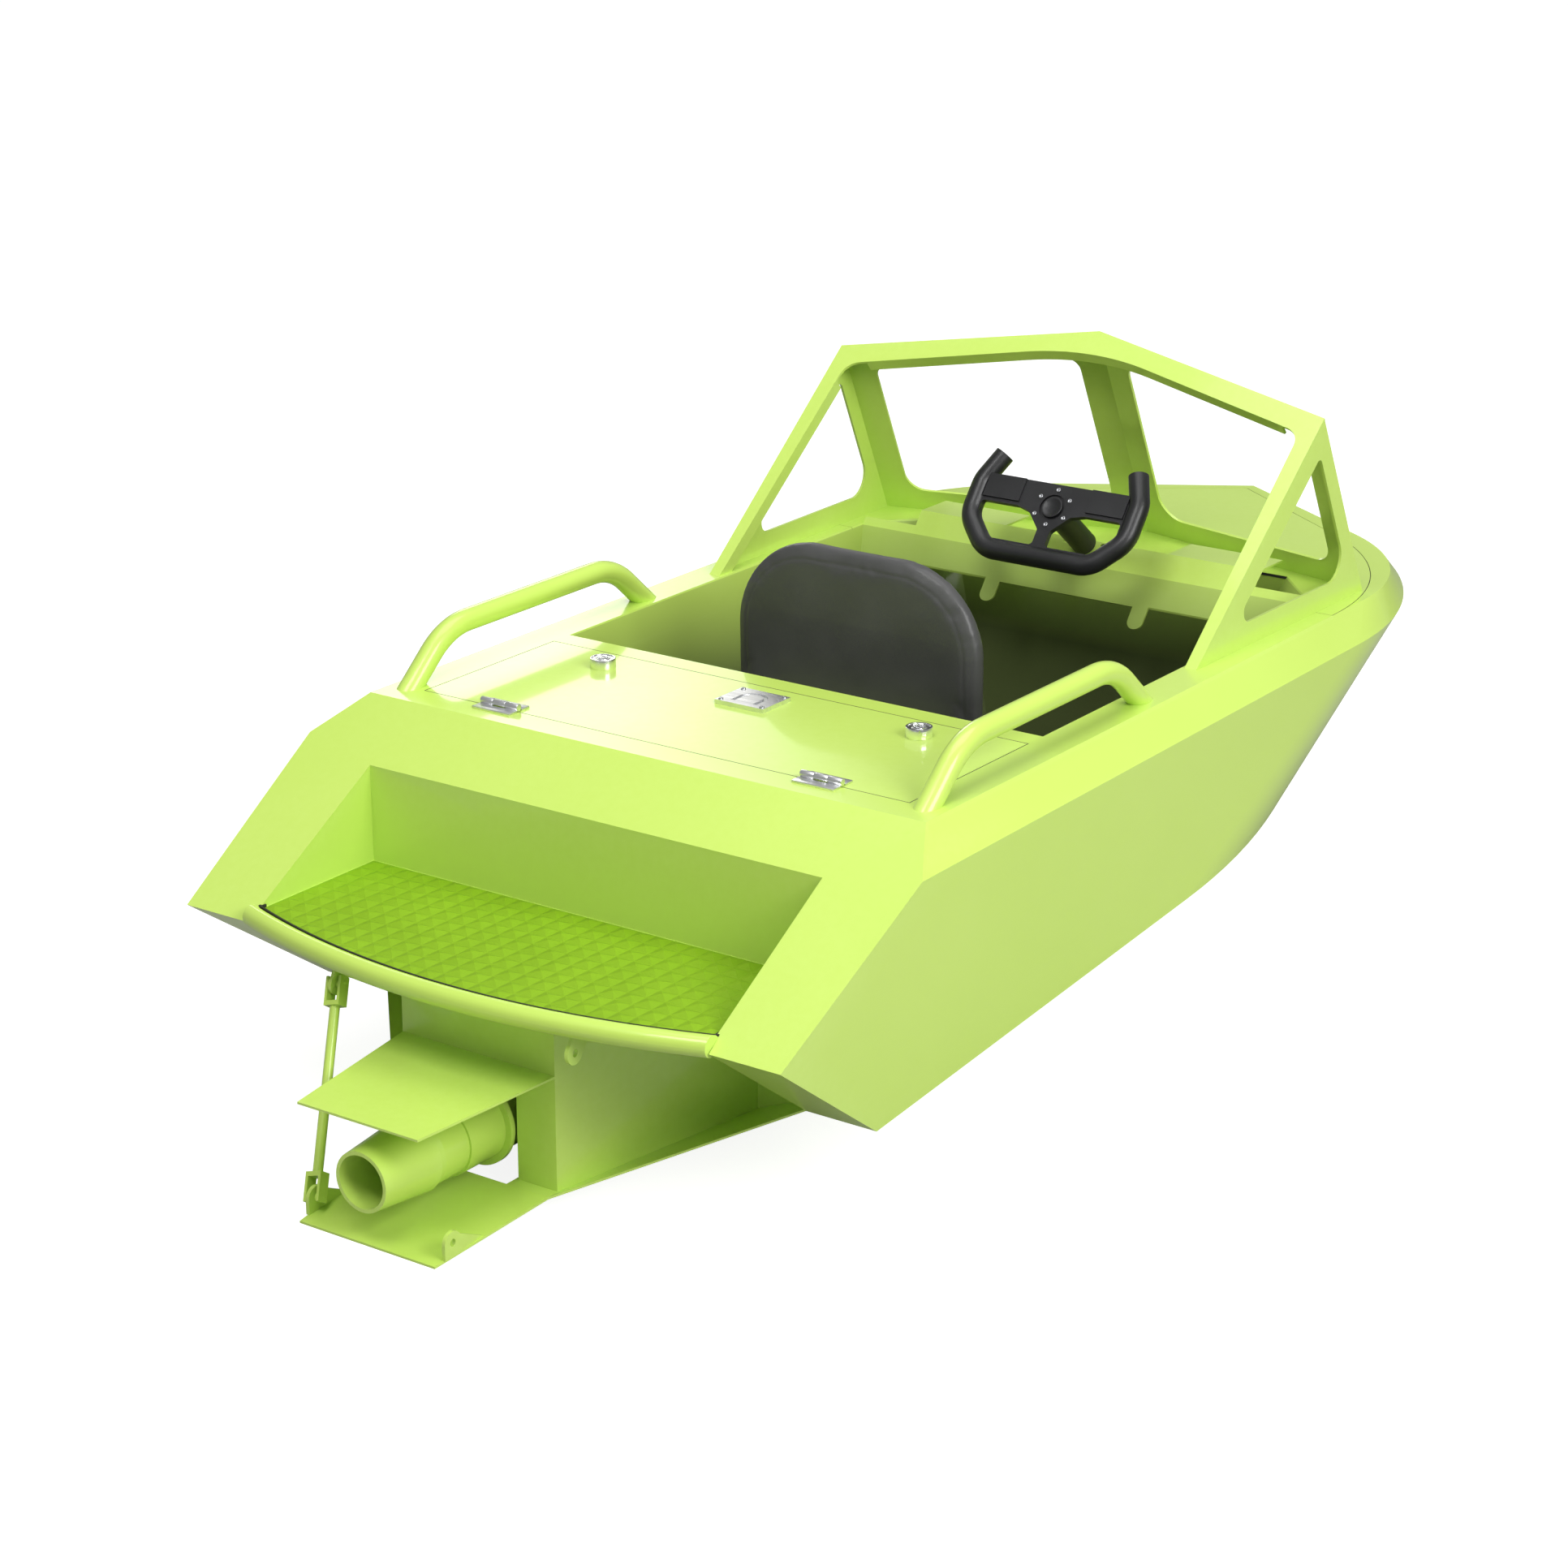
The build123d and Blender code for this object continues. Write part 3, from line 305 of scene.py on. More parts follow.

# a painted shade on the cockpit's inside, darker deeper down, in metres of the finished boat: its walls lean
# out and draw together to the bow
cockpitShadeSettings = {
    # the dark colour painted on the cockpit's inside as its shade
    "tone": (0.060, 0.082, 0.016),
    "matt": 0.35,  # added to the paint's roughness
    "soleZ": 0.152,
    "wallAtSole": 0.298,
    "wallTaper": -0.147,
    "wallLean": 0.89,
    "wallMost": 0.398,
    "low": 0.1505,
    "top": 0.4795,
    "aft": -0.2345,
    "fore": 0.629,
    "fullShadeDepth": 0.33,
    "shadeAtTop": 0.35,
}


def cockpitShadeMask(tree, vector, settings):
    # where the painted shade goes: one inside the cockpit's walls at full depth, less towards the deck's top,
    # zero on the outside of the hull
    parts = addNode(tree, "ShaderNodeSeparateXYZ", (-800, -500))
    tree.links.new(vector, parts.inputs[0])
    x, y, z = parts.outputs
    across = addMath(tree, 'ABSOLUTE', (-600, -400), x)
    fromSole = addMath(tree, 'SUBTRACT', (-600, -550), z, settings["soleZ"])
    atSole = addMath(tree, 'MULTIPLY_ADD', (-600, -700), y, settings["wallTaper"], settings["wallAtSole"])
    rise = addMath(tree, 'MULTIPLY', (-450, -550), fromSole, settings["wallLean"])
    wall = addMath(tree, 'ADD', (-300, -600), rise, atSole)
    wall = addMath(tree, 'MINIMUM', (-150, -600), wall, settings["wallMost"])
    mask = addMath(tree, 'LESS_THAN', (0, -500), across, wall)
    limits = [
        addMath(tree, 'GREATER_THAN', (0, -600), z, settings["low"]),
        addMath(tree, 'LESS_THAN', (0, -700), z, settings["top"]),
        addMath(tree, 'GREATER_THAN', (0, -800), y, settings["aft"]),
        addMath(tree, 'LESS_THAN', (0, -900), y, settings["fore"]),
        mapRange(tree, z, (0, -1000), source=(settings["top"], settings["fullShadeDepth"]),
                 target=(settings["shadeAtTop"], 1)),
    ]
    for limit in limits:
        mask = addMath(tree, 'MULTIPLY', (200, -700), mask, limit)
    return mask


def makePaint(name, settings, withCockpitShade):
    material, tree, shader, vector = startMaterial(name)
    grain = placeGroup(tree, surfaceGrain, vector, (-600, 200), Grain_Scale=settings["grain"],
                       Patch_Scale=settings["patches"])
    worn = placeGroup(tree, wornEdges, vector, (-600, -100), Amount=settings["wear"])
    colour = mixColour(tree, grain.outputs["Patches"], settings["lime"], settings["limeDeep"], (-200, 200))
    colour = mixColour(tree, worn.outputs["Mask"], colour, settings["edgeTone"], (0, 200))
    roughness = mapRange(tree, grain.outputs["Patches"], (200, 0), target=settings["roughness"])
    shader.inputs["Coat Weight"].default_value = settings["coat"]
    if withCockpitShade:
        # painted shade: the cockpit's inside takes a dark colour by position, with less coat and more
        # roughness
        inside = cockpitShadeMask(tree, vector, cockpitShadeSettings)
        colour = mixColour(tree, inside, colour, cockpitShadeSettings["tone"], (350, 200))
        coat = addMath(tree, 'MULTIPLY_ADD', (400, -100), inside, -settings["coat"], settings["coat"])
        tree.links.new(coat, shader.inputs["Coat Weight"])
        roughness = addMath(tree, 'MULTIPLY_ADD', (400, -250), inside, cockpitShadeSettings["matt"], roughness)
    tree.links.new(colour, shader.inputs["Base Color"])
    tree.links.new(roughness, shader.inputs["Roughness"])
    shader.inputs["Coat Roughness"].default_value = settings["coatRoughness"]
    addBump(tree, shader, grain.outputs["Height"], settings["bumpDistance"], settings["bump"])
    return material


limePaint = makePaint("limePaint", paintSettings, True)
fittingPaint = makePaint("fittingPaint", paintSettings, False)

# foam of the swim platform: saturated green, finely pored

foamSettings = {"face": (0.235, 0.430, 0.008), "pit": (0.212, 0.395, 0.006), "roughness": (0.64, 0.80),
                "specular": 0.3, "pores": 900, "grain": 1200.0, "patches": 14.0, "bumpDistance": 0.0004,
                "bump": 0.25}


def makeFoam(name, settings):
    material, tree, shader, vector = startMaterial(name)
    pores = addNode(tree, "ShaderNodeTexVoronoi", (-600, 200))
    pores.inputs["Scale"].default_value = settings["pores"]
    tree.links.new(vector, pores.inputs["Vector"])
    grain = placeGroup(tree, surfaceGrain, vector, (-600, -100), Grain_Scale=settings["grain"],
                       Patch_Scale=settings["patches"])
    depth = addMath(tree, 'MULTIPLY', (-300, 100), pores.outputs["Distance"], grain.outputs["Height"])
    colour = mixColour(tree, grain.outputs["Patches"], settings["face"], settings["pit"], (0, 200))
    tree.links.new(colour, shader.inputs["Base Color"])
    tree.links.new(mapRange(tree, depth, (0, 0), target=settings["roughness"]), shader.inputs["Roughness"])
    shader.inputs["Specular IOR Level"].default_value = settings["specular"]
    addBump(tree, shader, depth, settings["bumpDistance"], settings["bump"])
    return material


matFoam = makeFoam("matFoam", foamSettings)

# metals: chrome knobs, brushed hinges and latch plate, turned pump parts, screws

metalShared = {"patches": 22.0, "wear": 0.6, "bumpDistance": 0.0002}
metalSettings = {
    "chromeFittings": {"face": (0.93, 0.94, 0.95), "dull": (0.84, 0.85, 0.87), "roughness": (0.12, 0.24),
                       "stretch": (1, 1, 1), "grain": 300.0, "bump": 0.02},
    "brushedPlate": {"face": (0.90, 0.91, 0.92), "dull": (0.74, 0.75, 0.76), "roughness": (0.26, 0.40),
                     "stretch": (1, 14, 1), "grain": 160.0, "bump": 0.10},
    "pumpMetal": {"face": (0.36, 0.37, 0.37), "dull": (0.25, 0.26, 0.26), "roughness": (0.28, 0.42),
                  "stretch": (1, 12, 1), "grain": 240.0, "bump": 0.12},
    "screwSteel": {"face": (0.62, 0.63, 0.65), "dull": (0.45, 0.46, 0.48), "roughness": (0.2, 0.35),
                   "stretch": (1, 1, 1), "grain": 700.0, "bump": 0.08},
}


def makeMetal(name, settings):
    material, tree, shader, vector = startMaterial(name)
    stretch = addNode(tree, "ShaderNodeMapping", (-800, 0))
    stretch.inputs["Scale"].default_value = settings["stretch"]
    tree.links.new(vector, stretch.inputs["Vector"])
    grain = placeGroup(tree, surfaceGrain, stretch.outputs[0], (-600, 0), Grain_Scale=settings["grain"],
                       Patch_Scale=metalShared["patches"])
    worn = placeGroup(tree, wornEdges, vector, (-600, -200), Amount=metalShared["wear"])
    colour = mixColour(tree, grain.outputs["Patches"], settings["face"], settings["dull"], (-200, 200))
    colour = mixColour(tree, worn.outputs["Mask"], colour, settings["face"], (0, 200))
    tree.links.new(colour, shader.inputs["Base Color"])
    roughness = mapRange(tree, grain.outputs["Patches"], (0, 0), target=settings["roughness"])
    tree.links.new(roughness, shader.inputs["Roughness"])
    shader.inputs["Metallic"].default_value = 1
    addBump(tree, shader, grain.outputs["Height"], metalShared["bumpDistance"], settings["bump"])
    return material


chrome, brushedPlate, pumpMetal, screwSteel = (makeMetal(*item) for item in metalSettings.items())

# dark surfaces: vinyl of the seat, grip and plate of the wheel, case of the blocks, and a near-black that
# paints the shade in narrow gaps

darkShared = {"patches": 9.0, "wear": 0.8, "crease": (0, 0.12), "bumpDistance": 0.0003}
darkSettings = {
    "seatVinyl": {"face": (0.052, 0.052, 0.053), "worn": (0.070, 0.070, 0.071), "roughness": (0.40, 0.52),
                  "cells": 520.0, "bump": 0.3, "coat": 0.12},
    "wheelBlack": {"face": (0.0075, 0.0077, 0.0085), "worn": (0.016, 0.016, 0.018), "roughness": (0.34, 0.46),
                   "cells": 900.0, "bump": 0.2, "coat": 0.1},
    "blockCase": {"face": (0.04, 0.042, 0.045), "worn": (0.07, 0.07, 0.075), "roughness": (0.45, 0.6),
                  "cells": 260.0, "bump": 0.15, "coat": 0.0},
    # painted shade: a near-black, slightly green, for the sheets set in narrow gaps
    "gapShadeDark": {"face": (0.012, 0.014, 0.008), "worn": (0.02, 0.022, 0.014), "roughness": (0.6, 0.75),
                   "cells": 1500.0, "bump": 0.1, "coat": 0.0},
}


def makeDark(name, settings):
    material, tree, shader, vector = startMaterial(name)
    cells = addNode(tree, "ShaderNodeTexVoronoi", (-600, 300), feature='DISTANCE_TO_EDGE')
    cells.inputs["Scale"].default_value = settings["cells"]
    tree.links.new(vector, cells.inputs["Vector"])
    crease = mapRange(tree, cells.outputs["Distance"], (-400, 300), source=darkShared["crease"])
    grain = placeGroup(tree, surfaceGrain, vector, (-600, 0), Grain_Scale=settings["cells"] * 2,
                       Patch_Scale=darkShared["patches"])
    worn = placeGroup(tree, wornEdges, vector, (-600, -200), Amount=darkShared["wear"])
    height = addMath(tree, 'MULTIPLY', (-200, 300), crease, grain.outputs["Height"])
    colour = mixColour(tree, grain.outputs["Patches"], settings["face"], settings["worn"], (-200, 100))
    colour = mixColour(tree, worn.outputs["Mask"], colour, settings["worn"], (0, 100))
    tree.links.new(colour, shader.inputs["Base Color"])
    roughness = mapRange(tree, grain.outputs["Patches"], (0, -100), target=settings["roughness"])
    tree.links.new(roughness, shader.inputs["Roughness"])
    shader.inputs["Coat Weight"].default_value = settings["coat"]
    addBump(tree, shader, height, darkShared["bumpDistance"], settings["bump"])
    return material


seatVinyl, wheelBlack, blockCase, gapShadeDark = (makeDark(*item) for item in darkSettings.items())

# the finish of each material slot of the record, and the nodes that have another one
slotFinish = {
    "hull_paint": limePaint,
    "mat": matFoam,
    "bright_metal": chrome,
    "jet_metal": pumpMetal,
    "wheel_black": wheelBlack,
    "seat_cover": seatVinyl,
    "block_grey": blockCase,
}
paintedFittings = ("jet_tube", "steering_nozzle", "adjuster_rod", "rail_port", "rail_starboard",
                   "platform_edge_tube", "platform_lugs", "ride_plate", "splash_plate", "screen_hoop",
                   "screen_front_port", "screen_front_starboard", "screen_side_port", "screen_side_starboard")
nodeFinish = {name: fittingPaint for name in paintedFittings}
nodeFinish["hatch_latch"] = brushedPlate


def dressNodes():
    slots = {part["node"]: part["material_slot"] for part in frame["record"]["subparts"]}
    for name, obj in frame["nodes"].items():
        obj.data.materials.clear()
        obj.data.materials.append(nodeFinish.get(name, slotFinish[slots[name]]))


dressNodes()
print("paint, metal and vinyl on the frame")


# modelling helpers

alongAxis = 0.9  # the cosine from which a face or an edge counts as lying along an axis
onPlane = 0.001  # metres within which a point counts as lying on a plane
weldGap = 0.00001
bevelAngle = 35
smoothAngle = 40


def pickOnly(obj):
    bpy.ops.object.select_all(action='DESELECT')
    obj.select_set(True)
    bpy.context.view_layer.objects.active = obj


def settle(obj):
    pickOnly(obj)
    bpy.ops.object.transform_apply(location=True, rotation=True, scale=True)


def boxBetween(name, low, high):
    a, b = spot(*low), spot(*high)
    bpy.ops.object.select_all(action='DESELECT')
    bpy.ops.mesh.primitive_cube_add(size=1, location=(a + b) / 2, scale=b - a)
    obj = bpy.context.object
    obj.name = name
    settle(obj)
    return obj


def discAt(name, place, radius, height, sides, turn=(0, 0, 0)):
    bpy.ops.object.select_all(action='DESELECT')
    bpy.ops.mesh.primitive_cylinder_add(vertices=sides, radius=mm(radius), depth=mm(height), location=place,
                                        rotation=turn)
    obj = bpy.context.object
    obj.name = name
    settle(obj)
    return obj


def openEdit(obj, kind):
    pickOnly(obj)
    bpy.ops.object.mode_set(mode='EDIT')
    bpy.ops.mesh.select_mode(type=kind)
    bpy.ops.mesh.select_all(action='DESELECT')
    return bmesh.from_edit_mesh(obj.data)


def openWhole(obj):
    openEdit(obj, 'VERT')
    bpy.ops.mesh.select_all(action='SELECT')


def closeEdit():
    bpy.ops.object.mode_set(mode='OBJECT')


def pickFaces(obj, test):
    mesh = openEdit(obj, 'FACE')
    for face in mesh.faces:
        if test(face.calc_center_median(), face.normal):
            face.select_set(True)
    bmesh.update_edit_mesh(obj.data)


def pickEdges(obj, test):
    mesh = openEdit(obj, 'EDGE')
    for edge in mesh.edges:
        a, b = (v.co for v in edge.verts)
        if test((a + b) / 2, (b - a).normalized()):
            edge.select_set(True)
    bmesh.update_edit_mesh(obj.data)


def pullFaces(move):
    bpy.ops.mesh.extrude_region_move(TRANSFORM_OT_translate={"value": move})


def weldAll(gap):
    # merges doubles and turns the faces outwards, in edit mode
    bpy.ops.mesh.select_all(action='SELECT')
    bpy.ops.mesh.remove_doubles(threshold=gap)
    bpy.ops.mesh.normals_make_consistent(inside=False)


def finishWith(obj, kind, **values):
    modifier = obj.modifiers.new(kind.lower(), kind)
    for key, value in values.items():
        setattr(modifier, key, value)
    pickOnly(obj)
    bpy.ops.object.modifier_apply(modifier=modifier.name)


def roundEdges(obj, width, segments=2):
    finishWith(obj, 'BEVEL', width=mm(width), segments=segments, limit_method='ANGLE',
               angle_limit=math.radians(bevelAngle))


def smooth(obj):
    pickOnly(obj)
    bpy.ops.object.shade_smooth_by_angle(angle=math.radians(smoothAngle))


def copyMesh(obj, name):
    twin = bpy.data.objects.new(name, obj.data.copy())
    twin.matrix_world = obj.matrix_world.copy()
    bpy.context.collection.objects.link(twin)
    return twin


def twinToPort(obj, name, x):
    # a copy of a starboard piece that is centred at x
    twin = copyMesh(obj, name)
    twin.location.x = -2 * mm(x)
    settle(twin)
    return twin


def mergedCopy(node, name):
    twin = copyMesh(frame["nodes"][node], name)
    openEdit(twin, 'VERT')
    weldAll(weldGap)
    closeEdit()
    return twin


def resizeMesh(obj, value, centre):
    openWhole(obj)
    bpy.ops.transform.resize(value=value, center_override=centre)
    closeEdit()


def joinPieces(name, parts):
    bpy.ops.object.select_all(action='DESELECT')
    for part in parts:
        part.select_set(True)
    bpy.context.view_layer.objects.active = parts[0]
    bpy.ops.object.join()
    parts[0].name = name
    settle(parts[0])
    return parts[0]


def finishPiece(obj, material, body, replaced=()):
    obj.data.materials.clear()
    obj.data.materials.append(material)
    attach(obj, body)
    if replaced:
        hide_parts(*replaced)
    print("made", obj.name, len(obj.data.polygons), "faces")


# swim platform mat: a grid of low pyramids cut to the platform's outline

matSettings = {"columns": 26, "rows": 11, "base": -194.4, "rise": 4.1, "sheet": 0.5, "overlap": 0.3,
               "planStretch": 6}


def cutByMatPlan(obj, operation):
    # the mat's own outline, drawn out to a tall cutter
    plan = mergedCopy("platform_mat", "matPlan")
    low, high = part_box("platform_mat")
    resizeMesh(plan, (1, 1, matSettings["planStretch"]), (0, 0, (low[2] + high[2]) / 2))
    finishWith(obj, 'BOOLEAN', operation=operation, object=plan, solver='EXACT')
    bpy.data.objects.remove(plan)


def makePlatformMat(settings):
    low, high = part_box("platform_mat")
    width = high[0] - low[0] + 2 * mm(settings["overlap"])
    length = settings["rows"] * width / settings["columns"]
    place = Vector((0, high[1] + mm(settings["overlap"]) - length / 2, spot(0, 0, settings["base"]).z))
    bpy.ops.object.select_all(action='DESELECT')
    bpy.ops.mesh.primitive_grid_add(x_subdivisions=settings["columns"], y_subdivisions=settings["rows"],
                                    size=1, location=place)
    obj = bpy.context.object
    obj.name = "platformMatPad"
    obj.scale = (width, length, 1)
    settle(obj)
    openEdit(obj, 'FACE')
    bpy.ops.mesh.select_all(action='SELECT')
    bpy.ops.mesh.poke(offset=mm(settings["rise"]))
    closeEdit()
    finishWith(obj, 'SOLIDIFY', thickness=mm(settings["sheet"]), offset=-1)
    cutByMatPlan(obj, 'INTERSECT')
    finishPiece(obj, matFoam, "hull", ["platform_mat"])


makePlatformMat(matSettings)

# backrest and seat pad: blown up as cloth from a smaller block, then sewn

puffSettings = {"frames": 20, "pressure": 4.0, "cap": 7.0}


def puff(obj, voxel):
    finishWith(obj, 'REMESH', mode='VOXEL', voxel_size=mm(voxel))
    start = [vertex.co.copy() for vertex in obj.data.vertices]
    cloth = obj.modifiers.new("puff", 'CLOTH')
    cloth.settings.use_pressure = True
    cloth.settings.uniform_pressure_force = puffSettings["pressure"]
    cloth.settings.effector_weights.gravity = 0
    cloth.point_cache.frame_start = 1
    cloth.point_cache.frame_end = puffSettings["frames"]
    for step in range(1, puffSettings["frames"] + 1):
        bpy.context.scene.frame_set(step)
    pickOnly(obj)
    bpy.ops.object.modifier_apply(modifier=cloth.name)
    bpy.context.scene.frame_set(1)
    cap = mm(puffSettings["cap"])
    for vertex, was in zip(obj.data.vertices, start):
        move = vertex.co - was
        if move.length > cap:
            vertex.co = was + move.normalized() * cap
    finishWith(obj, 'SUBSURF', levels=1, render_levels=1)
    pickOnly(obj)
    bpy.ops.object.shade_smooth()


backSettings = {"half": 209, "aft": 507, "fore": 533, "low": -184, "top": 158, "corner": 136,
                "cornerSteps": 14, "edge": 9, "voxel": 5.5, "seamIn": 26, "seamDepth": 0.9, "seamWidth": 3.0,
                "faceFrom": 0.6}


def edgeDistance(x, z, settings):
    # how far a point of the backrest's face lies inside its D outline, in millimetres
    side = settings["half"] - abs(x)
    over = settings["top"] - z
    if side < settings["corner"] and over < settings["corner"]:
        return settings["corner"] - math.hypot(settings["corner"] - side, settings["corner"] - over)
    return min(side, over, z - settings["low"])


def makeBackrest(settings):
    obj = boxBetween("backrestPad", (-settings["half"], settings["aft"], settings["low"]),
                     (settings["half"], settings["fore"], settings["top"]))
    topZ = spot(0, 0, settings["top"]).z
    pickEdges(obj, lambda middle, along: abs(along.y) > alongAxis and abs(middle.z - topZ) < onPlane)
    bpy.ops.mesh.bevel(offset=mm(settings["corner"]), segments=settings["cornerSteps"], affect='EDGES')
    closeEdit()
    roundEdges(obj, settings["edge"], 3)
    puff(obj, settings["voxel"])
    middleY = spot(0, (settings["aft"] + settings["fore"]) / 2, 0).y
    for vertex in obj.data.vertices:
        inward = edgeDistance(vertex.co.x * 1000, vertex.co.z * 1000 - deckTop, settings)
        offSeam = abs(inward - settings["seamIn"]) / settings["seamWidth"]
        if offSeam < 1 and abs(vertex.normal.y) > settings["faceFrom"]:
            push = mm(settings["seamDepth"]) * (1 - offSeam ** 2)
            vertex.co.y += push if vertex.co.y < middleY else -push
    finishPiece(obj, seatVinyl, "hull", ["backrest"])


seatSettings = {"half": 203, "aft": 548, "fore": 864, "low": -265, "top": -204, "corner": 40,
                "cornerSteps": 6, "edge": 12, "voxel": 6, "channels": (-102, 0, 102), "channelDepth": 4.5,
                "channelWidth": 9, "faceFrom": 0.4}


def makeSeatPad(settings):
    obj = boxBetween("seatPad", (-settings["half"], settings["aft"], settings["low"]),
                     (settings["half"], settings["fore"], settings["top"]))
    pickEdges(obj, lambda middle, along: abs(along.z) > alongAxis)
    bpy.ops.mesh.bevel(offset=mm(settings["corner"]), segments=settings["cornerSteps"], affect='EDGES')
    closeEdit()
    roundEdges(obj, settings["edge"], 3)
    puff(obj, settings["voxel"])
    floorZ = spot(0, 0, settings["low"]).z
    for vertex in obj.data.vertices:
        if vertex.co.z < floorZ:
            vertex.co.z = floorZ
        for channel in settings["channels"]:
            off = abs(vertex.co.x * 1000 - channel) / settings["channelWidth"]
            if off < 1 and vertex.normal.z > settings["faceFrom"]:
                vertex.co.z -= mm(settings["channelDepth"]) * (1 - off ** 2)
    finishPiece(obj, seatVinyl, "hull", ["seat_cushion"])


makeBackrest(backSettings)
makeSeatPad(seatSettings)

# grab rails: one round tube bent twice on a wide former, both feet cut off level with the deck

railSettings = {"x": 421, "aft": 51, "fore": 572, "top": 66, "run": 76, "radius": 16, "bend": 118,
                "sides": 32, "bendSteps": 12, "sink": 14, "weldGap": 0.00002}


def bendTube(name, corners, settings):
    # a straight run to each corner, a spin round it, and a last run to the end
    bend = mm(settings["bend"])
    bpy.ops.object.select_all(action='DESELECT')
    along = (corners[1] - corners[0]).normalized()
    bpy.ops.mesh.primitive_circle_add(vertices=settings["sides"], radius=mm(settings["radius"]),
                                      location=corners[0], rotation=along.to_track_quat('Z', 'Y').to_euler())
    obj = bpy.context.object
    obj.name = name
    settle(obj)
    openWhole(obj)
    here = corners[0]
    for before, corner, after in zip(corners, corners[1:], corners[2:]):
        along = (corner - before).normalized()
        onward = (after - corner).normalized()
        turn = along.angle(onward)
        start = corner - along * bend * math.tan(turn / 2)
        axis = along.cross(onward).normalized()
        pullFaces(start - here)
        bpy.ops.mesh.spin(steps=settings["bendSteps"], angle=-turn, center=start + axis.cross(along) * bend,
                          axis=axis)
        here = corner + onward * bend * math.tan(turn / 2)
    pullFaces(corners[-1] - here)
    weldAll(settings["weldGap"])
    closeEdit()
    return obj


def makeRails(settings):
    slope = settings["top"] / settings["run"]
    sink = settings["sink"]
    corners = [spot(settings["x"], settings["aft"] - sink / slope, -sink),
               spot(settings["x"], settings["aft"] + settings["run"], settings["top"]),
               spot(settings["x"], settings["fore"] - settings["run"], settings["top"]),
               spot(settings["x"], settings["fore"] + sink / slope, -sink)]
    rail = bendTube("grabRailStarboard", corners, settings)
    openWhole(rail)
    bpy.ops.mesh.bisect(plane_co=spot(0, 0, 0), plane_no=(0, 0, 1), clear_inner=True, use_fill=True)
    closeEdit()
    smooth(rail)
    twin = twinToPort(rail, "grabRailPort", settings["x"])
    finishPiece(rail, fittingPaint, "hull", ["rail_starboard"])
    finishPiece(twin, fittingPaint, "hull", ["rail_port"])


makeRails(railSettings)

# hatch knobs: turned, ringed and dished, with a raised finger bar

knobSettings = {"x": 262, "y": 272, "radius": 18, "height": 14, "sides": 64, "rim": 2.6, "dish": 1.4,
                "boss": 9.5, "bossRise": 0.98, "bossWall": 1.6, "bossDrop": 1.96, "barLength": 15,
                "barWidth": 4, "barFoot": 12, "barSink": 0.3, "edge": 0.5}


def makeKnobs(settings):
    place = spot(settings["x"], settings["y"], settings["height"] / 2)
    body = discAt("hatchKnobStarboard", place, settings["radius"], settings["height"], settings["sides"])
    pickFaces(body, lambda centre, normal: normal.z > alongAxis)
    rings = ((settings["rim"], -settings["dish"]),
             (settings["radius"] - settings["rim"] - settings["boss"], settings["bossRise"]),
             (settings["bossWall"], -settings["bossDrop"]))
    for inset, step in rings:
        bpy.ops.mesh.inset(thickness=mm(inset))
        pullFaces((0, 0, mm(step)))
    closeEdit()
    reach, half = settings["barLength"] / 2, settings["barWidth"] / 2
    bar = boxBetween("fingerBar", (settings["x"] - reach, settings["y"] - half, settings["barFoot"]),
                     (settings["x"] + reach, settings["y"] + half, settings["height"] - settings["barSink"]))
    knob = joinPieces("hatchKnobStarboard", [body, bar])
    roundEdges(knob, settings["edge"])
    smooth(knob)
    twin = twinToPort(knob, "hatchKnobPort", settings["x"])
    finishPiece(knob, chrome, "hatch", ["hatch_knobs"])
    finishPiece(twin, chrome, "hatch", ["hatch_knobs"])


makeKnobs(knobSettings)

# hinges: a full-length leaf on the lid and one on the deck, their knuckles taking turns round the pin

hingeSettings = {"x": 262, "y": 49, "length": 64, "pinZ": 6, "knuckleRadius": 5, "knuckleSides": 28,
                 "leafWidth": 22, "leafThickness": 3, "webLow": 1, "webTop": 3, "webReach": 1,
                 "playAcross": 0.4, "playAlong": 0.3, "edge": 0.5}


def makeHinge(side, settings):
    third = settings["length"] / 3
    half = settings["length"] / 2
    middle = side * settings["x"]
    tag = "Starboard" if side > 0 else "Port"
    pinY = settings["y"]
    clear = settings["knuckleRadius"] + settings["playAcross"]
    webEnd = clear + settings["webReach"]
    webHalf = third / 2 - settings["playAlong"]
    # name: body, node, the leaf's aft and fore, the webs' aft and fore, the knuckles' places
    leaves = {
        "lidHinge": ("hatch", "hatch_hinge_leaves", (pinY + clear, pinY + settings["leafWidth"]),
                     (pinY, pinY + webEnd), (0,)),
        "deckHinge": ("hull", "deck_hinge_leaves", (pinY - settings["leafWidth"], pinY - clear),
                      (pinY - webEnd, pinY), (-third, third)),
    }
    for name, (body, node, leaf, web, knuckles) in leaves.items():
        parts = [boxBetween(name + "Leaf", (middle - half, leaf[0], 0),
                            (middle + half, leaf[1], settings["leafThickness"]))]
        for off in knuckles:
            parts.append(discAt(name + "Knuckle", spot(middle + off, pinY, settings["pinZ"]),
                                settings["knuckleRadius"], third - settings["playAlong"],
                                settings["knuckleSides"], (0, math.radians(90), 0)))
            parts.append(boxBetween(name + "Web", (middle + off - webHalf, web[0], settings["webLow"]),
                                    (middle + off + webHalf, web[1], settings["webTop"])))
        piece = joinPieces(name + tag, parts)
        roundEdges(piece, settings["edge"])
        smooth(piece)
        finishPiece(piece, brushedPlate, body, [node])


for side in (-1, 1):
    makeHinge(side, hingeSettings)

# screws: one modelled, the others are copies with their own mesh

screwSettings = {"radius": 3.4, "height": 1.6, "sides": 20, "socket": 1.7, "socketDepth": 0.96, "edge": 0.35}
latchSettings = {"y": 263, "across": 34, "along": 26, "top": 5.9}


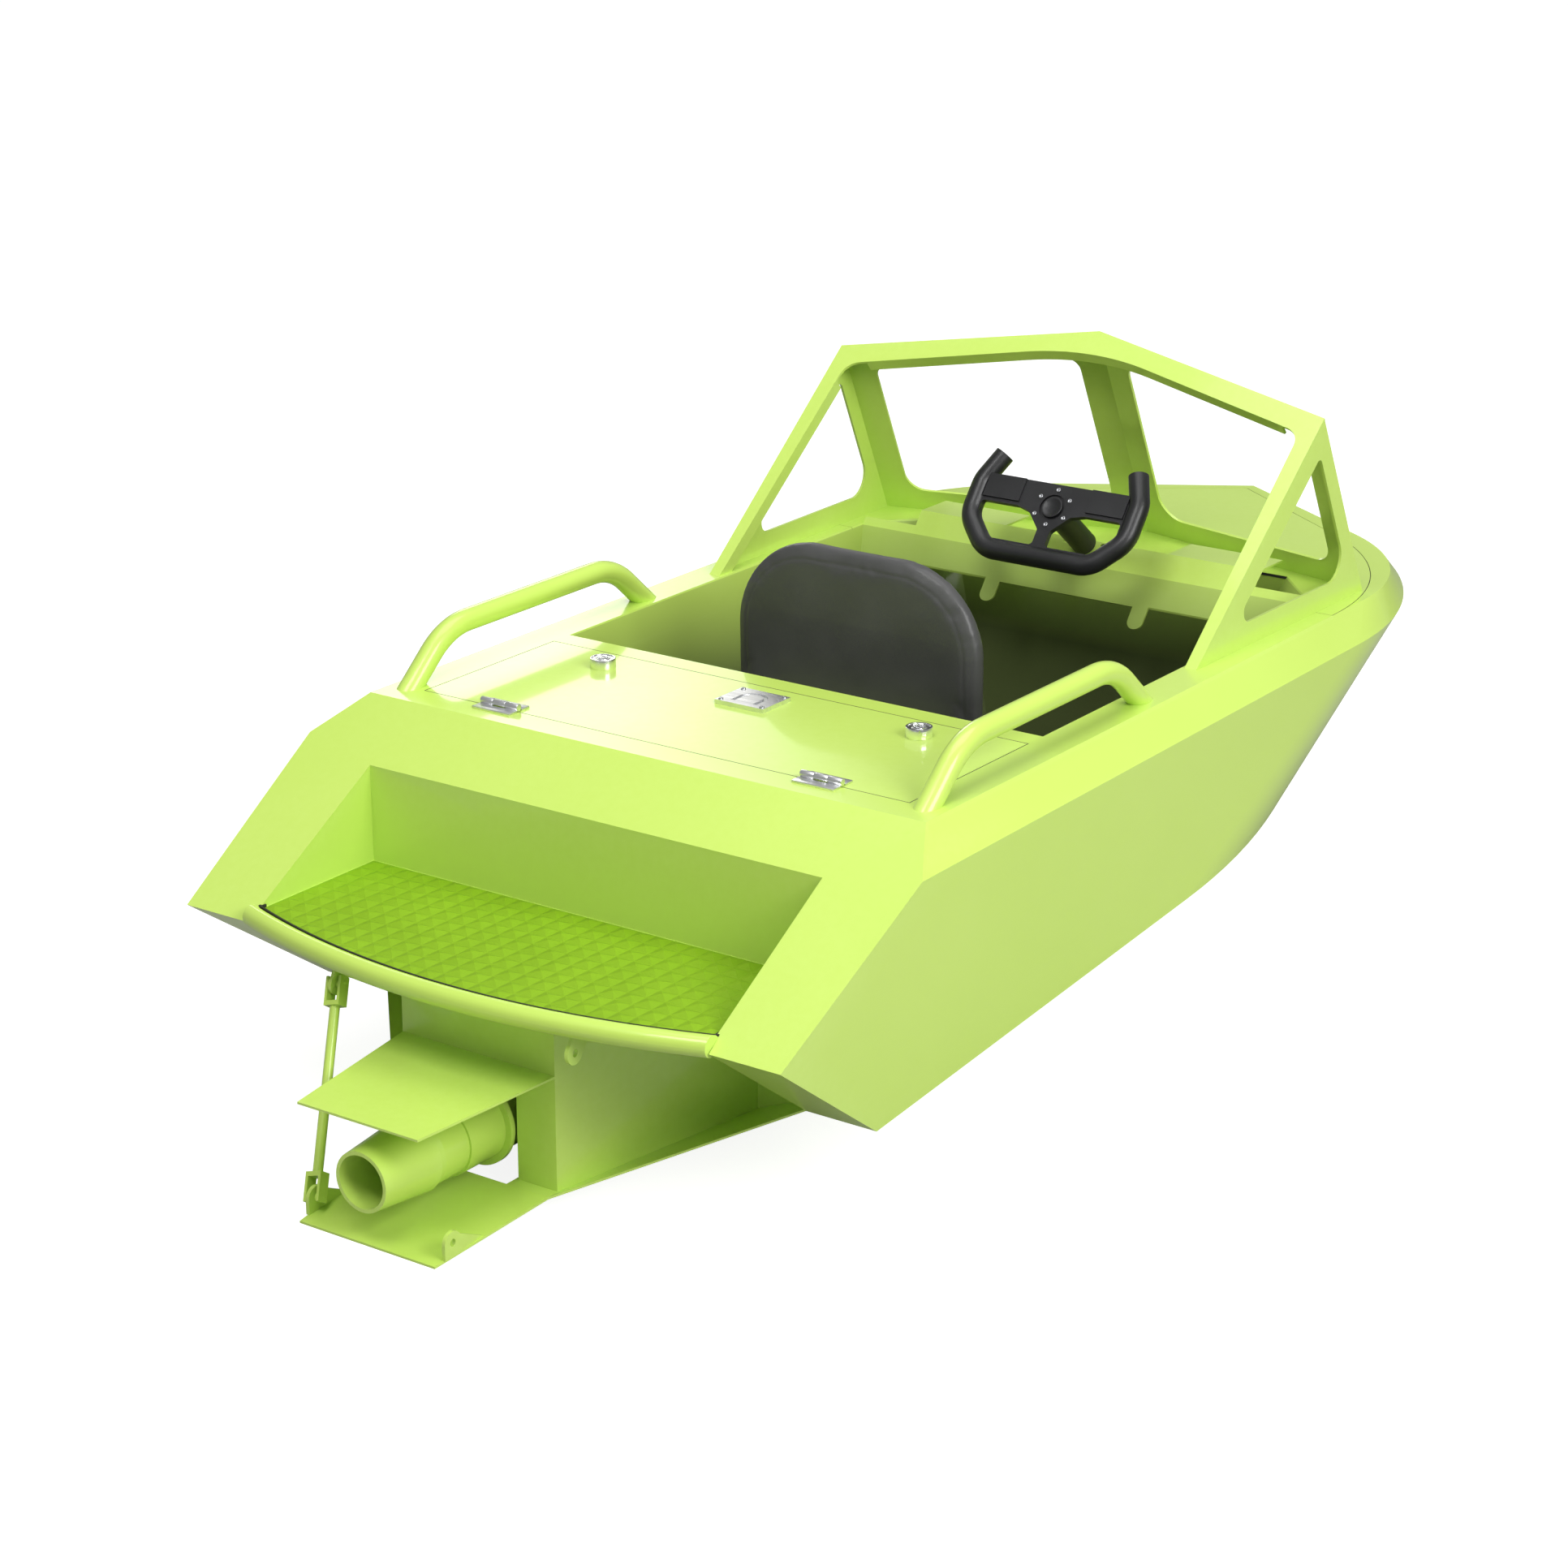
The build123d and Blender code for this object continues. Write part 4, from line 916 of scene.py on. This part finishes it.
def makeScrew(settings):
    screw = discAt("screwHead", (0, 0, mm(settings["height"] / 2)), settings["radius"], settings["height"],
                   settings["sides"])
    pickFaces(screw, lambda centre, normal: normal.z > alongAxis)
    bpy.ops.mesh.inset(thickness=mm(settings["radius"] - settings["socket"]))
    pullFaces((0, 0, -mm(settings["socketDepth"])))
    closeEdit()
    roundEdges(screw, settings["edge"])
    smooth(screw)
    return screw


def screwsAt(name, master, places, turn, body):
    copies = []
    for place in places:
        twin = copyMesh(master, name + "Part")
        twin.rotation_euler = turn
        twin.location = place
        settle(twin)
        copies.append(twin)
    finishPiece(joinPieces(name, copies), screwSteel, body)


def makeLatchScrews(settings):
    places = [spot(x, settings["y"] + off, settings["top"])
              for x in (-settings["across"], settings["across"])
              for off in (-settings["along"], settings["along"])]
    screwsAt("latchScrews", screwHead, places, (0, 0, 0), "hatch")


screwHead = makeScrew(screwSettings)
makeLatchScrews(latchSettings)

# wheel hub: six screws on the plate and a cap in the recess, square to the column

wheelSettings = {"tilt": 38.5, "centre": (0, 1040, 98), "screwCircle": 29, "screws": 6, "plate": 8,
                 "capRadius": 17, "capHeight": 5, "capSides": 48, "capSink": 3, "capRim": 3,
                 "capStep": (1.2, -0.8), "capEdge": 0.8}


def onWheel(u, v, w):
    tilt = math.radians(wheelSettings["tilt"])
    up = Vector((0, math.sin(tilt), math.cos(tilt)))
    out = Vector((0, -math.cos(tilt), math.sin(tilt)))
    return spot(*wheelSettings["centre"]) + Vector((mm(u), 0, 0)) + up * mm(v) + out * mm(w)


def makeWheelHub(settings):
    turn = (math.radians(90 - settings["tilt"]), 0, 0)
    circle = settings["screwCircle"]
    angles = [2 * math.pi * (n + 0.5) / settings["screws"] for n in range(settings["screws"])]
    places = [onWheel(circle * math.cos(a), circle * math.sin(a), settings["plate"]) for a in angles]
    screwsAt("wheelScrews", screwHead, places, turn, "wheel")
    middle = onWheel(0, 0, settings["plate"] - settings["capSink"] + settings["capHeight"] / 2)
    cap = discAt("wheelHubCap", middle, settings["capRadius"], settings["capHeight"], settings["capSides"],
                 turn)
    out = (onWheel(0, 0, 1) - onWheel(0, 0, 0)).normalized()
    pickFaces(cap, lambda centre, normal: normal.dot(out) > alongAxis)
    bpy.ops.mesh.inset(thickness=mm(settings["capRim"]))
    inset, step = settings["capStep"]
    bpy.ops.mesh.inset(thickness=mm(inset), depth=mm(step))
    closeEdit()
    roundEdges(cap, settings["capEdge"], 3)
    smooth(cap)
    finishPiece(cap, wheelBlack, "wheel")


makeWheelHub(wheelSettings)
bpy.data.objects.remove(screwHead)

# painted shade: dark beds set in the gaps round the hatch lid, the foredeck and the mat, that show as the
# gaps' shade

gapShadeSettings = {"hatchHalf": 395.5, "hatchAft": 47.5, "hatchFore": 329.5, "width": 1.3, "low": -4.2,
                "top": -0.02, "deckGrow": (1.002, 1.003, 0.9), "rimHeight": 4.4, "rimFore": -312}


def makeGapShades(settings):
    # a dark ring at the bottom of the hatch lid's gap, painting its shade as a crisp line
    hatchShadeBed = boxBetween("hatchGapShade", (-settings["hatchHalf"], settings["hatchAft"], settings["low"]),
                      (settings["hatchHalf"], settings["hatchFore"], settings["top"]))
    pickFaces(hatchShadeBed, lambda centre, normal: abs(normal.z) > alongAxis)
    bpy.ops.mesh.inset(thickness=mm(settings["width"]))
    bpy.ops.mesh.bridge_edge_loops()
    closeEdit()
    finishPiece(hatchShadeBed, gapShadeDark, "hull")

    # a dark plate under the foredeck's seam, painting the seam's shade
    deckShadeBed = mergedCopy("foredeck", "foredeckShadeBed")
    low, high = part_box("foredeck")
    resizeMesh(deckShadeBed, settings["deckGrow"], [(a + b) / 2 for a, b in zip(low, high)])
    finishPiece(deckShadeBed, gapShadeDark, "hull")

    # the mat's rim: a dark crescent between the mat and the edge tube, painting the shade in that gap
    matShadeRim = mergedCopy("platform_plate", "matShadeRim")
    pickFaces(matShadeRim, lambda centre, normal: normal.z < alongAxis)
    bpy.ops.mesh.delete(type='FACE')
    bpy.ops.mesh.select_all(action='SELECT')
    pullFaces((0, 0, mm(settings["rimHeight"])))
    bpy.ops.mesh.select_all(action='SELECT')
    bpy.ops.mesh.normals_make_consistent(inside=False)
    bpy.ops.mesh.bisect(plane_co=spot(0, settings["rimFore"], 0), plane_no=(0, 1, 0), clear_outer=True,
                        use_fill=True)
    closeEdit()
    cutByMatPlan(matShadeRim, 'DIFFERENCE')
    finishPiece(matShadeRim, gapShadeDark, "hull")


makeGapShades(gapShadeSettings)

# floor

floorSettings = {"size": 60, "tone": (0.40, 0.40, 0.40), "patchTone": (0.396, 0.396, 0.396),
                 "roughness": 0.9, "glow": 0.88, "grain": 200.0, "patches": 0.5}


def addFloor(settings):
    bpy.ops.object.select_all(action='DESELECT')
    bpy.ops.mesh.primitive_plane_add(size=settings["size"], location=(0, 0, 0))
    floor = bpy.context.object
    floor.name = "floor"
    material, tree, shader, vector = startMaterial("floorTone")
    grain = placeGroup(tree, surfaceGrain, vector, (-600, 0), Grain_Scale=settings["grain"],
                       Patch_Scale=settings["patches"])
    tone = mixColour(tree, grain.outputs["Patches"], settings["tone"], settings["patchTone"], (0, 0))
    tree.links.new(tone, shader.inputs["Base Color"])
    shader.inputs["Roughness"].default_value = settings["roughness"]
    # a glow that only the camera sees keeps the floor as white as the backdrop
    path = addNode(tree, "ShaderNodeLightPath", (0, -400))
    glow = addMath(tree, 'MULTIPLY', (250, -400), path.outputs["Is Camera Ray"], settings["glow"])
    tree.links.new(glow, shader.inputs["Emission Strength"])
    shader.inputs["Emission Color"].default_value = (1, 1, 1, 1)
    floor.data.materials.append(material)


addFloor(floorSettings)
print("floor laid")
